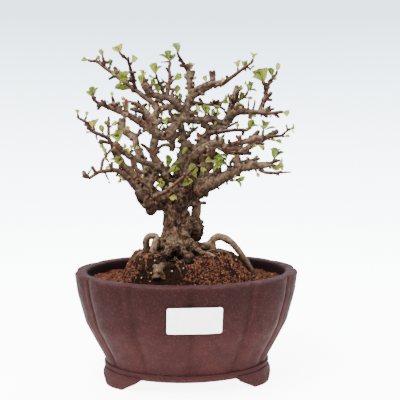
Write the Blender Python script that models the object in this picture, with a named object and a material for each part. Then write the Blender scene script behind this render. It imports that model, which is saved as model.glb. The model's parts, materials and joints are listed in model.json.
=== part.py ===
"""Flowering quince bonsai in an oval, lobed clay pot.

Sizes are in millimetres until a mesh is made, with +Z up and the pot's front towards -Y.
The boughs are drawn in the front view, as places across and up it, and pushed back or
brought forward along the eye's lines, so the crown keeps that view's outline at any depth.
"""

import math
import random
from typing import NamedTuple

import bmesh
import bpy
import numpy as np
from mathutils import Matrix, Vector

MM = 0.001
GAP = 0.3
SEED = 7

# Front view: where the eye stands, how the pot is turned in it, where its heights start
EYE = Vector((0.0, -570.0, 202.0))
VIEW_TURN = math.radians(-2.6)
VIEW_DATUM = 8.0

# Pot
LOBES = 12
LOBE_DEPTH = 2.5
POT_SIDES = 48
OVAL_INSET = 19.0
LEDGE_TOP = 15.5
LEDGE_BOTTOM = 9.5
LEDGE_HALF_WIDTH = 70.5
POT_WALL = ((16.5, 69.3), (21.5, 71.0), (34.5, 77.8), (50.0, 85.6), (75.0, 92.0), (90.4, 93.9), (92.0, 92.9))
INNER_WALL = ((92.0, 85.6), (90.6, 84.5), (67.0, 82.6), (27.0, 68.0))
FLOOR_TOP = 17.0
FLOOR_HALF_WIDTH = 61.0
FOOT_ANGLES = (-123.0, -57.0, 57.0, 123.0)
FOOT_HALF_TURN = 24.0
FOOT_FLAT = 0.40
FOOT_STEPS = 10
FOOT_FLARE = 4.2
FOOT_PROUD = 0.8
FOOT_INNER = 14.0
FOOT_SUNK = 2.0
DRAIN_OFFSET = 32.0
DRAIN_RADIUS = 6.5
DRAIN_SIDES = 16
MESH_SIDE = 22.0
MESH_THICK = 0.8
MESH_HOLES = 3
MESH_BAR = 1.4

# Soil
SOIL_SIDES = 32
SOIL_RINGS = 8
SOIL_RIM = 83.5
MOUND_RISE = 22.5
MOUND_CENTRE = (-4.0, 4.0)
MOUND_LEFT = 54.0
MOUND_RIGHT = 75.0
MOUND_DEPTH = 60.0
MOUND_STEEP = 0.62
MOUND_SKEW = 0.12
GRAIN_RELIEF = 0.75
ROOT_ROOM = 0.45

# Boughs: a point this near to the line between its neighbours is left out
STRAIGHT = 0.95
SIX_SIDES_OVER = 2.4
EIGHT_SIDES_OVER = 5.0
ROUNDING = (1.12, 1.05, 1.03)
TRUNK_SIDES = 16
TRUNK_LUMPS = ((3, 0.07, 14.0), (5, 0.05, -9.0))
SEAT_STEP = 1.6
TIP_STEP = 2.0
TIP_RADIUS_MOST = 1.3
STUB_RADII = [0.85, 0.6]
STUB_FIRST = (10, 24)
STUB_EVERY = (38, 64)
STUB_LENGTH = (1.8, 4.6)
STUB_ROOM = 5.0

# Label
LABEL_HALF_WIDTH = 21.0
LABEL_LOW = 54.5
LABEL_HIGH = 76.0
LABEL_TURN = math.radians(1.8)
LABEL_CORNER = 1.5
LABEL_THICK = 0.6
LABEL_BRIDGE = 1.7
LABEL_COLUMNS = 11

# Leaves
LEAF_THICK = 0.62
LEAF_EDGE = ((0.38, 0.82), (0.68, 1.0), (0.76, 0.70))
CORE_RADIUS = 0.8
CORE_HEIGHT = 1.7
SPUR_RADIUS = 0.75
LEAF_ROOM = 0.85
LEAF_TRIES = 30
TUFT_ROOM = 1.3

CLAY = ((0.122, 0.045, 0.042), 0.75)
SOIL_BROWN = ((0.105, 0.048, 0.030), 0.95)
BARK = ((0.155, 0.095, 0.062), 0.90)
LEAF_GREEN = ((0.215, 0.345, 0.040), 0.55)
LEAF_PALE = ((0.420, 0.520, 0.130), 0.55)
PETAL_RED = ((0.560, 0.020, 0.018), 0.50)
STAMEN_CREAM = ((0.880, 0.620, 0.200), 0.60)
CALYX_GREEN = ((0.250, 0.260, 0.060), 0.60)
PAPER = ((0.800, 0.800, 0.780), 0.60)
MESH_BLACK = ((0.030, 0.030, 0.030), 0.60)


class Bough(NamedTuple):
    """A bough in the front view: its parent, how far back it reaches, its points.

    A point is (across, up), with its radius and its depth where they are set.
    """

    name: str
    parent: str
    reach: float
    points: list


TRUNK = [(-9, 84, 13.5), (-9, 92, 14.5), (-8, 98, 15), (-9, 104, 14.5), (-10, 110, 12), (-10, 118, 10.2),
         (-10, 128, 10), (-9, 136, 10.8), (-7, 144, 12.5), (-4, 152, 12), (0, 160, 10.5), (4, 168, 9),
         (7, 176, 7)]

BOUGHS = [
    Bough("burl", "trunk", -2, [(-14, 141, 9), (-20, 142, 9.5), (-26, 143, 9.3), (-33, 147, 7.6), (-39, 152, 5)]),
    Bough("burl_foot", "burl", 0, [(-27, 141, 8), (-31, 139.5, 7.5), (-30, 134, 5), (-29, 130.5, 2.5)]),
    Bough("old_stub", "trunk", 8, [(6, 148, 5, 5), (8, 144, 4.5, 8), (8.8, 138, 3.8), (8.3, 132, 3.7),
                                   (7.2, 127, 4.2), (8, 120, 5.6), (8.3, 114, 6.2), (7.5, 110, 5.2),
                                   (7, 107.2, 3)]),
    Bough("stub_knob", "old_stub", 0, [(8, 122, 4), (13, 124, 1.4)]),
    Bough("stub_wart", "old_stub", -3, [(8.3, 116, 4), (13.2, 119.5, 1.6)]),
    Bough("pointed_spur", "old_stub", 0, [(8, 141, 3), (12.5, 140, 1.5), (16.6, 140.3, 0.6)]),
    Bough("shoulder_knob", "trunk", -4, [(4, 150, 5), (12, 148.5, 2.6), (17, 147, 1.6), (18.9, 146.4, 0.9)]),
    Bough("low_left", "burl", -34, [(-39, 150, 4.5), (-43, 154, 3.8), (-47, 158.5, 3), (-50, 162.4, 2.5),
                                    (-54, 165.7, 2), (-59, 168.3, 1.5), (-64.5, 168.5, 1.3), (-69.7, 168.3, 1.2),
                                    (-73.6, 167), (-76, 165, 1.1), (-79, 162.4, 1), (-82, 161.5, 0.9),
                                    (-84.3, 162.1), (-87.5, 165.3, 0.7)]),
    Bough("low_left_fork", "low_left", -3, [(-83.5, 162, 0.9), (-87.5, 162.8, 0.6)]),
    Bough("low_left_shoot", "low_left", 7, [(-72.6, 168.5, 1), (-72.9, 171.5), (-71.6, 174.7), (-70.3, 177.3, 0.8),
                                            (-67.7, 179.3), (-68, 183, 0.7)]),
    Bough("far_left", "burl", -24, [(-30, 154, 4), (-33.3, 157.9, 3.2), (-37.9, 160.5, 2.8), (-42.4, 162.4, 2.5),
                                   (-47.6, 167, 2.2), (-52.8, 172.2, 2), (-58, 179.3, 1.7), (-61.9, 186.4, 1.5),
                                   (-63.8, 190.9, 1.4), (-65.5, 195.2, 1.4), (-69.6, 196.5, 1.3),
                                   (-75.4, 198.8, 1.2), (-79.2, 200.8, 1.1), (-82, 205, 1), (-83.1, 208),
                                   (-87.6, 210.5, 0.8), (-90.5, 212, 0.7)]),
    Bough("far_left_fork", "far_left", 12, [(-65.5, 195.2, 1.1), (-66, 201.6, 1), (-65.7, 205.4, 0.9),
                                            (-65.1, 213, 0.6)]),
    Bough("far_left_stub", "far_left", -8, [(-64.5, 190, 1.2), (-68.5, 191.3), (-72.8, 193, 1.1)]),
    Bough("left_leader", "trunk", -8, [(-12, 156, 5), (-18, 164, 4), (-24, 173, 3.2), (-28, 180, 2.9),
                                       (-28.8, 184.5, 2.8), (-27.5, 189, 2.9), (-26.2, 194.2, 3.3),
                                       (-24.5, 198, 4.2)]),
    Bough("front_left", "left_leader", -44, [(-20, 167, 2.6), (-25.5, 171.5, 2.2), (-30, 173.4, 2),
                                             (-35.9, 174.7, 1.8), (-40.5, 176, 1.6), (-45, 177.3, 1.5),
                                             (-48.9, 179.9, 1.3), (-52.8, 183.2, 1.2), (-56, 186.4, 1),
                                             (-58, 189, 0.9)]),
    Bough("left_link", "burl", -6, [(-30, 154, 3), (-27.5, 160, 2.6), (-25.8, 165, 2.3), (-25.5, 170, 2)]),
    Bough("rear_left", "burl", 32, [(-33, 156, 4), (-33.3, 163.7, 3.4), (-33.5, 168.9, 3), (-35.3, 172.2, 2.7),
                                    (-36.6, 175.4, 2.4), (-38.5, 179.3, 2), (-40.5, 183.2, 1.8),
                                    (-41.8, 187.7, 1.7), (-43, 192.2, 1.7), (-46.4, 196, 1.7), (-50.9, 198.6, 1.8),
                                    (-53.5, 202.2, 1.9), (-52.9, 206, 1.7), (-52.2, 210, 1.5)]),
    Bough("rear_left_knob", "rear_left", 3, [(-43.5, 194, 1.7), (-42, 198, 1.4), (-40, 197.5, 1.1)]),
    Bough("grey_spur", "rear_left_knob", 2, [(-40.5, 197.5, 1), (-38.7, 202.5, 0.9)]),
    Bough("left_cross_twig", "left_leader", -5, [(-28.7, 183.2, 1.2), (-33.3, 186.4), (-37.9, 190.3, 0.7)]),
    Bough("return_leader", "left_leader", 10, [(-24.5, 198, 3.8), (-20.3, 196.5, 3.6), (-15.8, 197, 3.5),
                                               (-11.9, 200, 3.5), (-8.5, 205, 3.6), (-5.5, 210.5, 3.8),
                                               (-2.1, 215, 3.8), (0, 219, 3.4), (2.5, 224, 3), (4, 229, 2.7)]),
    Bough("left_arm", "left_leader", -32, [(-27, 200, 2.8), (-33, 205.4, 2.5), (-37.4, 208, 2.3),
                                           (-41.9, 211.1, 2.2), (-47, 213.7, 2.1), (-52.2, 215, 2),
                                           (-56, 216.2, 1.9), (-61.2, 218.2, 1.7), (-65, 219.4, 1.5),
                                           (-69.6, 222, 1.3), (-74, 224.5, 1.1), (-77, 227, 0.9)]),
    Bough("left_arm_twig", "left_arm", 6, [(-59, 217, 1.1), (-59.9, 223, 0.9), (-61.5, 226.4, 0.8),
                                           (-61.9, 229.5, 0.7)]),
    Bough("left_arm_shoot", "left_arm", -6, [(-65.5, 219.5, 1), (-66.4, 222), (-68.6, 226.2, 1)]),
    Bough("left_arm_stub", "left_arm", 2, [(-55.4, 216, 1), (-55.4, 220, 0.9)]),
    Bough("upper_left", "left_leader", 38, [(-25, 199, 2.6), (-27, 206, 2.3), (-26.5, 212, 2.2),
                                            (-24.5, 217.5, 2.2), (-25.1, 222.3, 2.2), (-28.5, 224.8, 2.2),
                                            (-32.2, 226, 2.1), (-35.4, 228.6, 2), (-39.3, 232.2, 1.9),
                                            (-43.7, 235.4, 1.8), (-48.2, 238.5, 1.7), (-52, 241, 1.6),
                                            (-55.9, 244.3, 1.4), (-59.7, 248.4, 1.3), (-63.6, 251, 1.2),
                                            (-68.7, 256, 1.1), (-71.3, 257.5, 1), (-75, 259, 0.9),
                                            (-79.5, 259, 0.7)]),
    Bough("upper_left_stub", "upper_left", 3, [(-57, 246.5, 1.2), (-58.6, 253, 1.1)]),
    Bough("upper_left_spur", "upper_left", -3, [(-67.5, 255, 1), (-68.9, 260, 0.9)]),
    Bough("left_twig", "upper_left", 20, [(-27, 211, 1.5), (-32.3, 214.3, 1.3), (-34.9, 219.4),
                                          (-39.4, 223.3, 1), (-45.8, 225.2, 0.8)]),
    Bough("left_twiglet", "left_twig", -9, [(-32.5, 215, 1), (-39.4, 217.5), (-46.4, 219.4, 0.9)]),
    Bough("high_left", "upper_left", -22, [(-42, 234.5, 1.2), (-43.2, 239.8, 1.1), (-45.8, 246.2, 1.1),
                                           (-47.4, 250.6, 1), (-47.7, 255.1, 1), (-48.4, 259.6, 0.9),
                                           (-50.9, 262.1, 0.8), (-54, 264.3, 0.7)]),
    Bough("cut_arm", "return_leader", -30, [(-2, 217, 3), (-4.6, 221.3, 2.8), (-8.5, 224.5, 2.7),
                                            (-13.6, 228.3, 2.5), (-19.4, 229.8, 2.4), (-25.2, 230.3, 2.3),
                                            (-29, 231.5, 2.3), (-31.6, 234.7, 2.3), (-34.2, 241, 2.1)]),
    Bough("middle_shoot", "cut_arm", 6, [(-16.2, 230.5, 1.5), (-14.3, 236, 1.4), (-13.6, 241, 1.3), (-13.6, 245, 1.2),
                                         (-14.3, 248.7, 1.1), (-14.6, 253, 1), (-13.6, 257, 0.9)]),
    Bough("middle_fork", "middle_shoot", -2, [(-14.4, 250, 0.8), (-17, 253.5, 0.6)]),
    Bough("middle_twig", "cut_arm", -14, [(-16.8, 231, 1.2), (-19.4, 237.3, 0.9), (-22, 241.7, 0.8),
                                          (-24.6, 245, 0.7)]),
    Bough("middle_nub", "cut_arm", 4, [(-13, 229, 1), (-10.5, 236.3, 0.8)]),
    Bough("top", "return_leader", 8, [(4.2, 229, 2.6), (3.7, 236.8, 2.2), (3.1, 242.6, 1.9), (2.5, 246.4, 1.8),
                                      (1.5, 250.9, 1.7), (1.2, 256.5, 1.6)]),
    Bough("top_shoot", "top", -8, [(1.3, 251, 1.4), (-1.4, 254, 1.3), (-4.4, 257, 1.1), (-6, 260.6, 0.9),
                                   (-6.6, 263.6, 0.8)]),
    Bough("top_stub", "top", -4, [(3.8, 235, 1.4), (5.9, 242, 1.1)]),
    Bough("top_twig", "top", 5, [(3.2, 243, 1.2), (5, 246.5, 1), (6.6, 250.3, 0.8)]),
    Bough("upper_right", "return_leader", -34, [(5.7, 229.8, 2.8), (9.5, 233.7, 2.6), (14.1, 236.2, 2.3),
                                                (18.6, 238.8, 2.2), (22.5, 240.7, 2.1), (27, 240.2, 1.8),
                                                (30.8, 240.7, 1.5), (34.7, 242.6, 1.3), (38.6, 245.2, 1.2),
                                                (42.5, 248.4, 1.1), (46.3, 250.3, 1.1), (49.5, 252.8, 1),
                                                (51.5, 254.5, 0.8), (54.4, 258, 0.6)]),
    Bough("upper_right_stub", "upper_right", 4, [(22.1, 240, 1.4), (21.8, 245, 1.3), (22.1, 249, 1.2)]),
    Bough("right_twig", "return_leader", 26, [(3, 225, 1.8), (10.8, 224.7, 1.4), (17.3, 222.8, 1.1),
                                              (23.7, 223.4, 1), (28.9, 224.4, 0.9)]),
    Bough("right_twiglet", "right_twig", 9, [(24, 223.4, 0.9), (27.6, 221.5, 0.8), (32.1, 219, 0.7)]),
    Bough("back_arm", "return_leader", 17, [(-3, 211, 3.4), (5, 210, 3), (14.1, 210, 2.9), (20.5, 211.3, 2.9),
                                            (26, 209.5, 2.9), (31, 207, 3), (33.5, 207.5, 3)]),
    Bough("knob_to_eye", "back_arm", -7, [(4.4, 210.5, 2), (4.4, 214, 1.9), (4.4, 217, 1.6)]),
    Bough("right_riser", "back_arm", 24, [(33.4, 206.5, 3), (34, 212.5, 2.5), (36, 218.3, 2.2), (37.3, 223.4, 1.9),
                                          (39.2, 229.8, 1.8), (41.1, 234.9, 1.7), (42.5, 238.8, 1.4)]),
    Bough("riser_twig", "right_riser", -8, [(37.3, 221, 1.3), (39.8, 224.5), (42.4, 229.8, 1.1), (43, 234, 0.9)]),
    Bough("riser_shoot", "riser_twig", -6, [(41, 226.5, 1), (47, 228.5, 0.9), (50.2, 231.5, 0.7)]),
    Bough("right_arm", "right_riser", -38, [(34.5, 211, 2.6), (39.8, 216, 2.4), (45, 217.6, 2.2), (50.2, 217, 2.1),
                                            (55.3, 217, 2), (59.2, 215.9, 2), (63.1, 215.7, 1.8),
                                            (68.9, 215.7, 1.2), (73.4, 216, 1.1), (78.6, 217, 0.9)]),
    Bough("right_arm_stub", "right_arm", 3, [(44, 217.4, 1.2), (45.7, 221.3, 1)]),
    Bough("right_arm_bud", "right_arm", -2, [(67.5, 215.8, 1), (68.8, 219.2, 0.9)]),
    Bough("right_tip", "right_arm", 16, [(61.5, 216, 2), (63.2, 222.1, 1.6), (65.2, 226, 1.4), (66.3, 230.5, 1.2),
                                         (66.3, 235.6, 1.1), (67.6, 238.8, 1), (69.5, 242.6, 1),
                                         (72.1, 245.2, 1), (75.2, 248.4, 0.8)]),
    Bough("right_tip_spur", "right_tip", -3, [(66.3, 234, 0.9), (65.2, 239.5, 0.7)]),
    Bough("right_tip_stub", "right_tip", -6, [(64.8, 225, 1.3), (68.9, 229.2, 1.2), (71.2, 233, 1.2)]),
    Bough("inner_right", "trunk", 15, [(6, 176, 4), (8.8, 186.4, 3), (12.7, 192.2, 2.8), (16, 197.4, 2.7),
                                       (20, 200.5, 2.6), (25, 203, 2.6), (30, 205.5, 2.6), (33, 206.5, 2.6)]),
    Bough("long_twig", "inner_right", -34, [(18, 199, 1.7), (27, 201.2, 1.5), (33, 201.5, 1.3), (41.2, 202.2, 1.1),
                                            (46.3, 201.6, 1), (50.8, 201.6, 0.8)]),
    Bough("long_twiglet", "long_twig", 6, [(28, 201.3, 1), (32.5, 203), (36, 204.2, 0.8), (39.9, 206.1, 0.7),
                                           (43.7, 209, 0.6)]),
    Bough("inner_leader", "trunk", 12, [(3, 170, 4.5), (1, 180, 3.4), (-1.6, 187.7, 2.8), (-2.9, 194.2, 2.6),
                                        (-3.8, 200.6, 2.6), (-4.5, 207, 2.8)]),
    Bough("inner_twig", "inner_leader", 16, [(-2.9, 195, 1.2), (1.2, 196.5, 0.9), (5.5, 200.5), (9.5, 204.5, 0.7)]),
    Bough("grey_arm", "trunk", -32, [(6, 175, 4.5), (10.7, 184, 3.6), (16, 187.7, 3.2), (21.8, 190.9, 3.1),
                                     (27, 192.8, 3.2), (30.5, 192.3, 3)]),
    Bough("grey_upper", "grey_arm", -4, [(27, 192, 2.6), (31.5, 188, 2.3), (34.9, 186.8, 2.1), (40, 186.4, 2),
                                         (44.5, 186.6, 1.8)]),
    Bough("grey_lower", "grey_arm", 14, [(24, 191, 2.4), (31, 184.6, 2.1), (34.9, 183.2, 1.9), (40, 182.5, 1.8),
                                         (46.6, 182.5, 1.6), (51.1, 182.5, 1.5), (54.4, 182.4, 1.2)]),
    Bough("right_hand", "grey_lower", 22, [(44, 182.5, 2), (49.8, 185.5, 2.3), (53.1, 188.5, 2.4), (57, 191, 2.3),
                                           (62.4, 193.1, 2.1), (67.6, 195.5, 1.9), (72.1, 197.8, 1.8),
                                           (76.9, 201.2, 1.6)]),
    Bough("right_hand_tip", "right_hand", -5, [(69, 196.2, 1.1), (76, 196.2, 0.9), (80.5, 197.1, 0.8),
                                               (83.7, 200.3, 0.7), (85.2, 201.7, 0.6)]),
    Bough("right_hand_spur", "right_hand", 6, [(52.8, 188.5, 1.3), (54, 194.5), (56.6, 198.4, 0.9),
                                               (60.5, 201.3, 0.8)]),
    Bough("right_hand_shoot", "right_hand", -4, [(64.2, 194, 1), (64.4, 199, 0.8)]),
    Bough("grey_twig", "grey_upper", -10, [(32, 188, 1.2), (40, 190.3, 1), (44.6, 192.9, 0.8), (45, 196.8, 0.7)]),
    Bough("low_right", "trunk", -26, [(2, 150, 7), (7.5, 152, 6), (14, 154, 5), (20.5, 156, 5), (25.7, 158.5, 4.6),
                                      (31, 162, 4), (36.2, 166, 3.4), (41.4, 168.5, 3.5), (46.6, 170, 3.5),
                                      (51.8, 170.9, 3.3), (57, 171, 3), (61.6, 171, 2.6), (64.8, 172, 2)]),
    Bough("low_right_tip", "low_right", 4, [(62, 171.5, 1.4), (69.4, 175, 1), (74.6, 176, 0.9), (79.2, 176.6, 0.7)]),
    Bough("low_right_under", "low_right", -8, [(60, 170, 1.6), (66, 166.2, 1.1), (71.3, 165.6, 1),
                                               (76.5, 165.6, 0.9), (80.8, 166.9, 0.9)]),
    Bough("low_right_middle", "low_right", -4, [(63, 171.6, 1.3), (69, 172.3, 1.1), (72.8, 172.1, 1.1)]),
    Bough("low_right_upper", "low_right", 10, [(44, 170.5, 1.8), (46.6, 175.2, 1.1), (53.1, 176, 0.9),
                                               (59.6, 176.8, 0.9), (61.8, 177.8, 0.8)]),
    Bough("low_right_spur", "low_right", -5, [(34, 164, 1), (37.5, 159.3, 0.7)]),
    Bough("low_right_twig", "low_right", 6, [(37, 168, 1), (37, 174, 0.8), (40, 179, 0.7)]),
    Bough("cross_branch", "low_right", -6, [(19, 157, 2.8), (17.5, 166, 2.4), (15, 172), (13.5, 178),
                                            (14, 185, 2.4)]),
    Bough("hanging_twig", "grey_arm", 4, [(19, 188.5, 1.8), (18.6, 177.9, 1.6), (18.5, 170, 1.4)]),
    Bough("front_cross", "burl", 0, [(-30, 147, 2.4, -5), (-26.8, 146.2, 1.9, -11.5), (-21.6, 148.2, 1.5, -15),
                                     (-17.7, 150.1, 1.3, -16), (-11.9, 154.7, 1.2, -17), (-7.3, 158.5, 1.1, -18),
                                     (-2.8, 162.4, 1, -20), (2, 166.5, 0.9, -22), (8, 171, 0.7, -25)]),
    Bough("trunk_shoot", "trunk", -16, [(5, 156, 2), (12, 160, 1.2), (18, 163, 1), (23.1, 165.5, 0.9),
                                        (25, 168, 0.8)]),
    Bough("trunk_shoot_fork", "trunk_shoot", -5, [(9, 158.5, 1), (14, 163.5, 0.8)]),
]

# Boughs behind the ones above, for the rear of the crown
REAR_BOUGHS = [
    Bough("rear_centre", "trunk", 0, [(-3, 157, 5, 8), (-4, 166, 3.6, 23), (-2, 176, 2.6, 36), (-3, 186, 1.9, 46),
                                      (-4, 196, 1.3, 55), (-4, 204, 0.9, 61)]),
    Bough("rear_low_right", "low_right", 0, [(12, 154, 4, 8), (25, 160.5, 2.8, 24), (36, 166.5, 2.1, 38),
                                             (46, 170, 1.5, 47), (54, 172, 1, 54)]),
    Bough("rear_low_left", "burl", 0, [(-31, 150, 4, 6), (-38, 155, 2.9, 20), (-46, 160.5, 2.1, 32),
                                       (-52, 166, 1.5, 42), (-60, 168.5, 1, 50)]),
    Bough("rear_high", "return_leader", 0, [(-8, 205, 2.8, 10), (-4, 212, 2.2, 25), (-1, 219, 1.8, 38),
                                            (2, 226, 1.4, 48), (3.5, 234, 1, 55), (3, 241, 0.8, 59)]),
    Bough("rear_right", "inner_right", 0, [(16, 197, 2.6, 20), (22, 203, 2.1, 33), (28, 207, 1.7, 44),
                                           (34, 212, 1.3, 52), (36.5, 220, 0.9, 59)]),
    Bough("rear_upper_left", "left_leader", 0, [(-26, 200, 2.6, 4), (-35, 206.5, 2, 22), (-44, 212.5, 1.5, 36),
                                                (-52, 215.5, 1.1, 47), (-58, 217.5, 0.8, 54)]),
    Bough("bloom_spur", "trunk", 0, [(-6, 150, 3, 8), (-8, 152, 1.9, 22), (-11, 151, 1.4, 31)]),
    Bough("bloom_spur_fork", "bloom_spur", 0, [(-7.5, 151.5, 1.5, 20), (-1, 153, 1.3, 28), (4, 152, 1.2, 33)]),
]

# Buds and blooms: bough, seat across and up, lean, towards the back
BUD_SEATS = {"bud_left": ("left_arm", -49.5, 219, -5, -0.2), "bud_inner": ("inner_right", 8.6, 190.5, -5, -0.3)}
BUD_SIZES = {"bud_left": (2.5, 5.6), "bud_inner": (2.1, 4.0)}
BLOOM_SEATS = {"bloom_left": ("bloom_spur", -12.5, 151, -50, 1.6),
               "bloom_right": ("bloom_spur_fork", 5.5, 152.5, 45, 1.6)}
CALYX_BASE = 0.85
CALYX_HEIGHT = 2.8
PETAL_COUNT = 5
PETAL_SIZE = (8.6, 6.9)
PETAL_EDGE = ((0.30, 0.60), (0.66, 1.0), (0.95, 0.56))
PETAL_DISC = 1.9
STAMEN_COUNT = 6
STAMEN_LENGTH = 4.2

# Roots, each down into its own channel in the soil
ROOTS = [
    Bough("root_left_back", "trunk", 0, [(-14, 107, 3.4, -4), (-22, 108, 2.4, -6), (-24.9, 111.4, 1.8),
                                         (-27.8, 112.6, 1.7), (-30.6, 112.1), (-33.5, 110), (-34.6, 107),
                                         (-34.6, 103.6), (-33.8, 100, 1.7), (-33.2, 94, 1.6), (-33, 87, 1.4, -2)]),
    Bough("root_left_front", "root_left_back", 0, [(-25.5, 110.8, 1.7, -7), (-27.3, 107, 1.7, -10),
                                                   (-29, 103, 1.8, -13), (-29.6, 99, 1.7, -15),
                                                   (-28.8, 95, 1.6, -16), (-28, 86, 1.4, -16)]),
    Bough("root_right_arch", "trunk", 0, [(4, 103, 5, -3), (14, 103.5, 3.5, -5), (18.5, 104.3, 2.6), (21.6, 106, 2),
                                          (23, 109.3, 1.8), (25.5, 111.4), (28.5, 111.4), (32.7, 110, 1.7, -6),
                                          (37, 107.5, 1.6), (40.6, 104.3), (43.4, 100.7), (46.3, 97.2, 1.5),
                                          (49.1, 92.9), (52, 88.6, 1.4, -8), (54.8, 84, 1.3), (57, 78, 1.2, -9)]),
    Bough("root_right_leg", "root_right_arch", -1, [(22, 106.5, 1.8), (22.8, 101, 1.8), (22, 90, 1.5)]),
    Bough("root_hair", "root_left_back", -2, [(-21, 108, 0.9), (-22.6, 103, 0.7), (-23.5, 97), (-23.6, 88, 0.6)]),
    Bough("root_front_left", "trunk", 0, [(-13, 104, 6, -7), (-15, 100, 4.6, -16), (-17, 95, 3.2, -22),
                                          (-18, 86, 2.4, -25)]),
    Bough("root_front", "trunk", 0, [(-6, 104, 6, -8), (-4, 99.5, 4.4, -17), (-1, 94, 3.2, -23),
                                     (0, 86, 2.4, -26)]),
    Bough("root_front_right", "trunk", 0, [(-1, 104, 5, -5), (7, 101, 4, -12), (13, 96, 3, -16),
                                           (16, 87, 2.2, -18)]),
    Bough("root_rear_left", "trunk", 0, [(-12, 104, 6, 7), (-15, 101, 4.4, 18), (-17, 96, 3.2, 27),
                                         (-18, 87, 2.4, 31)]),
    Bough("root_rear_right", "trunk", 0, [(-3, 104, 6, 8), (4, 101, 4.2, 18), (10, 96, 3.2, 26),
                                          (13, 87, 2.4, 30)]),
]


class Tuft(NamedTuple):
    """A leaf tuft: its bough, its seat in the front view, its lean and length, its leaves."""

    bough: str
    across: float
    up: float
    lean: float
    length: float
    leaves: int = 3
    toward: float = 0.0


TUFTS = [
    Tuft("upper_left", -79.5, 259, -70, 5.5, 2),
    Tuft("upper_left_spur", -68.9, 260, -15, 7, 2),
    Tuft("upper_left", -51, 241, 0, 8, 2, 0.3),
    Tuft("high_left", -45.5, 244, -75, 11, 3),
    Tuft("high_left", -54, 264.3, -35, 6.5, 2),
    Tuft("high_left", -47.6, 255, 35, 8, 2, -0.3),
    Tuft("cut_arm", -34.6, 241, -12, 7, 2),
    Tuft("middle_twig", -24.6, 245, -10, 10, 3, -0.3),
    Tuft("middle_shoot", -13.6, 257, -10, 9, 3),
    Tuft("top_shoot", -6.6, 263.6, -18, 12.5, 3),
    Tuft("upper_right", 44, 249.5, -10, 7, 2, 0.4),
    Tuft("upper_right", 54.4, 258, 25, 6, 2),
    Tuft("right_twig", 28.9, 224.4, 50, 6, 2, 0.3),
    Tuft("back_arm", 16, 213, -5, 9, 3, -0.4),
    Tuft("riser_shoot", 50.2, 231.5, 25, 10, 3),
    Tuft("right_tip_spur", 65.2, 239.5, -25, 13, 4),
    Tuft("right_tip", 75.2, 248.4, 15, 7.5, 2),
    Tuft("right_arm", 78.6, 217, 88, 6, 2),
    Tuft("long_twig", 50.8, 201.6, 40, 8.5, 3, -0.3),
    Tuft("right_hand_shoot", 64.4, 199, 10, 9, 3),
    Tuft("right_hand_tip", 85.2, 201.7, 65, 5, 2),
    Tuft("low_right_tip", 73.5, 176, 10, 11, 3, -0.3),
    Tuft("low_right_middle", 72.8, 172.1, 95, 7, 2),
    Tuft("low_right_spur", 37.5, 159.3, 85, 9, 3, -0.3),
    Tuft("trunk_shoot", 25, 168, 8, 13, 4, -0.3),
    Tuft("left_leader", -15, 171, 5, 9.5, 3, -0.2),
    Tuft("front_left", -58, 189, 0, 9.5, 3, -0.3),
    Tuft("low_left_shoot", -68, 183, -25, 6.5, 2),
    Tuft("low_left", -56.5, 171.5, -25, 9, 3, -0.3),
    Tuft("far_left", -77, 202, 5, 8, 2, 0.3),
    Tuft("far_left", -90.5, 212, -8, 4.5, 2),
    Tuft("left_arm", -77, 227, -10, 8.5, 3),
    Tuft("return_leader", -16, 205, -20, 8, 2, -0.4),
    Tuft("burl", -20.5, 153.5, -10, 7, 2, -1.0),
    Tuft("rear_centre", -4, 204, 5, 9, 3, 0.5),
    Tuft("rear_low_right", 54, 172, 40, 9, 3, 0.5),
    Tuft("rear_low_left", -60, 168.5, -60, 8, 2, 0.5),
    Tuft("rear_high", 3, 241, 5, 9, 3, 0.5),
    Tuft("rear_right", 36.5, 220, 10, 9, 3, 0.5),
    Tuft("rear_upper_left", -58, 217.5, -40, 8, 2, 0.5),
    Tuft("rear_low_left", -40, 160, 10, 8, 2, 0.7),
]


def from_front(across, up, depth=0.0):
    """Point at a depth behind the middle plane, on the eye's line through its place in the front view."""
    in_plane = Vector((across, 0.0, up + VIEW_DATUM))
    on_line = EYE + (in_plane - EYE) * (1 - depth / EYE.y)
    return Matrix.Rotation(VIEW_TURN, 3, "Z") @ on_line


def fill_gaps(points, first_depth, last_depth):
    """Rows (across, up, radius, depth): what a point leaves out runs evenly between its neighbours."""
    steps = [math.dist(a[:2], b[:2]) for a, b in zip(points, points[1:])]
    run = np.concatenate(([0.0], np.cumsum(steps)))
    rows = np.zeros((len(points), 4))
    rows[:, 0] = [p[0] for p in points]
    rows[:, 1] = [p[1] for p in points]
    known = [i for i, p in enumerate(points) if len(p) > 2]
    rows[:, 2] = np.interp(run, run[known], [points[i][2] for i in known])
    deep = {i: p[3] for i, p in enumerate(points) if len(p) > 3}
    deep.setdefault(0, first_depth)
    deep.setdefault(len(points) - 1, last_depth)
    at = sorted(deep)
    rows[:, 3] = np.interp(run, run[at], [deep[i] for i in at])
    return rows


def nearest_row(route, across, up):
    """The route's own row (across, up, radius, depth) nearest to a place in the front view."""
    best = None
    place = np.array((across, up))
    for a, b in zip(route, route[1:]):
        along = b[:2] - a[:2]
        share = np.clip(np.dot(place - a[:2], along) / max(np.dot(along, along), 1e-9), 0, 1)
        row = a + (b - a) * share
        gap = np.linalg.norm(row[:2] - place)
        if best is None or gap < best[0]:
            best = (gap, row)
    return best[1]


def drop_straight(rows):
    """Leaves out the rows that lie on the line between their neighbours, within STRAIGHT."""
    kept = [rows[0]]
    for row, ahead in zip(rows[1:-1], rows[2:]):
        line = ahead - kept[-1]
        share = np.dot(row[:2] - kept[-1][:2], line[:2]) / max(np.dot(line[:2], line[:2]), 1e-9)
        off = np.abs(row - kept[-1] - line * share)
        if off[:2].max() > STRAIGHT or off[2] > STRAIGHT / 2 or off[3] > 2 * STRAIGHT:
            kept.append(row)
    return np.array(kept + [rows[-1]])


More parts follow.
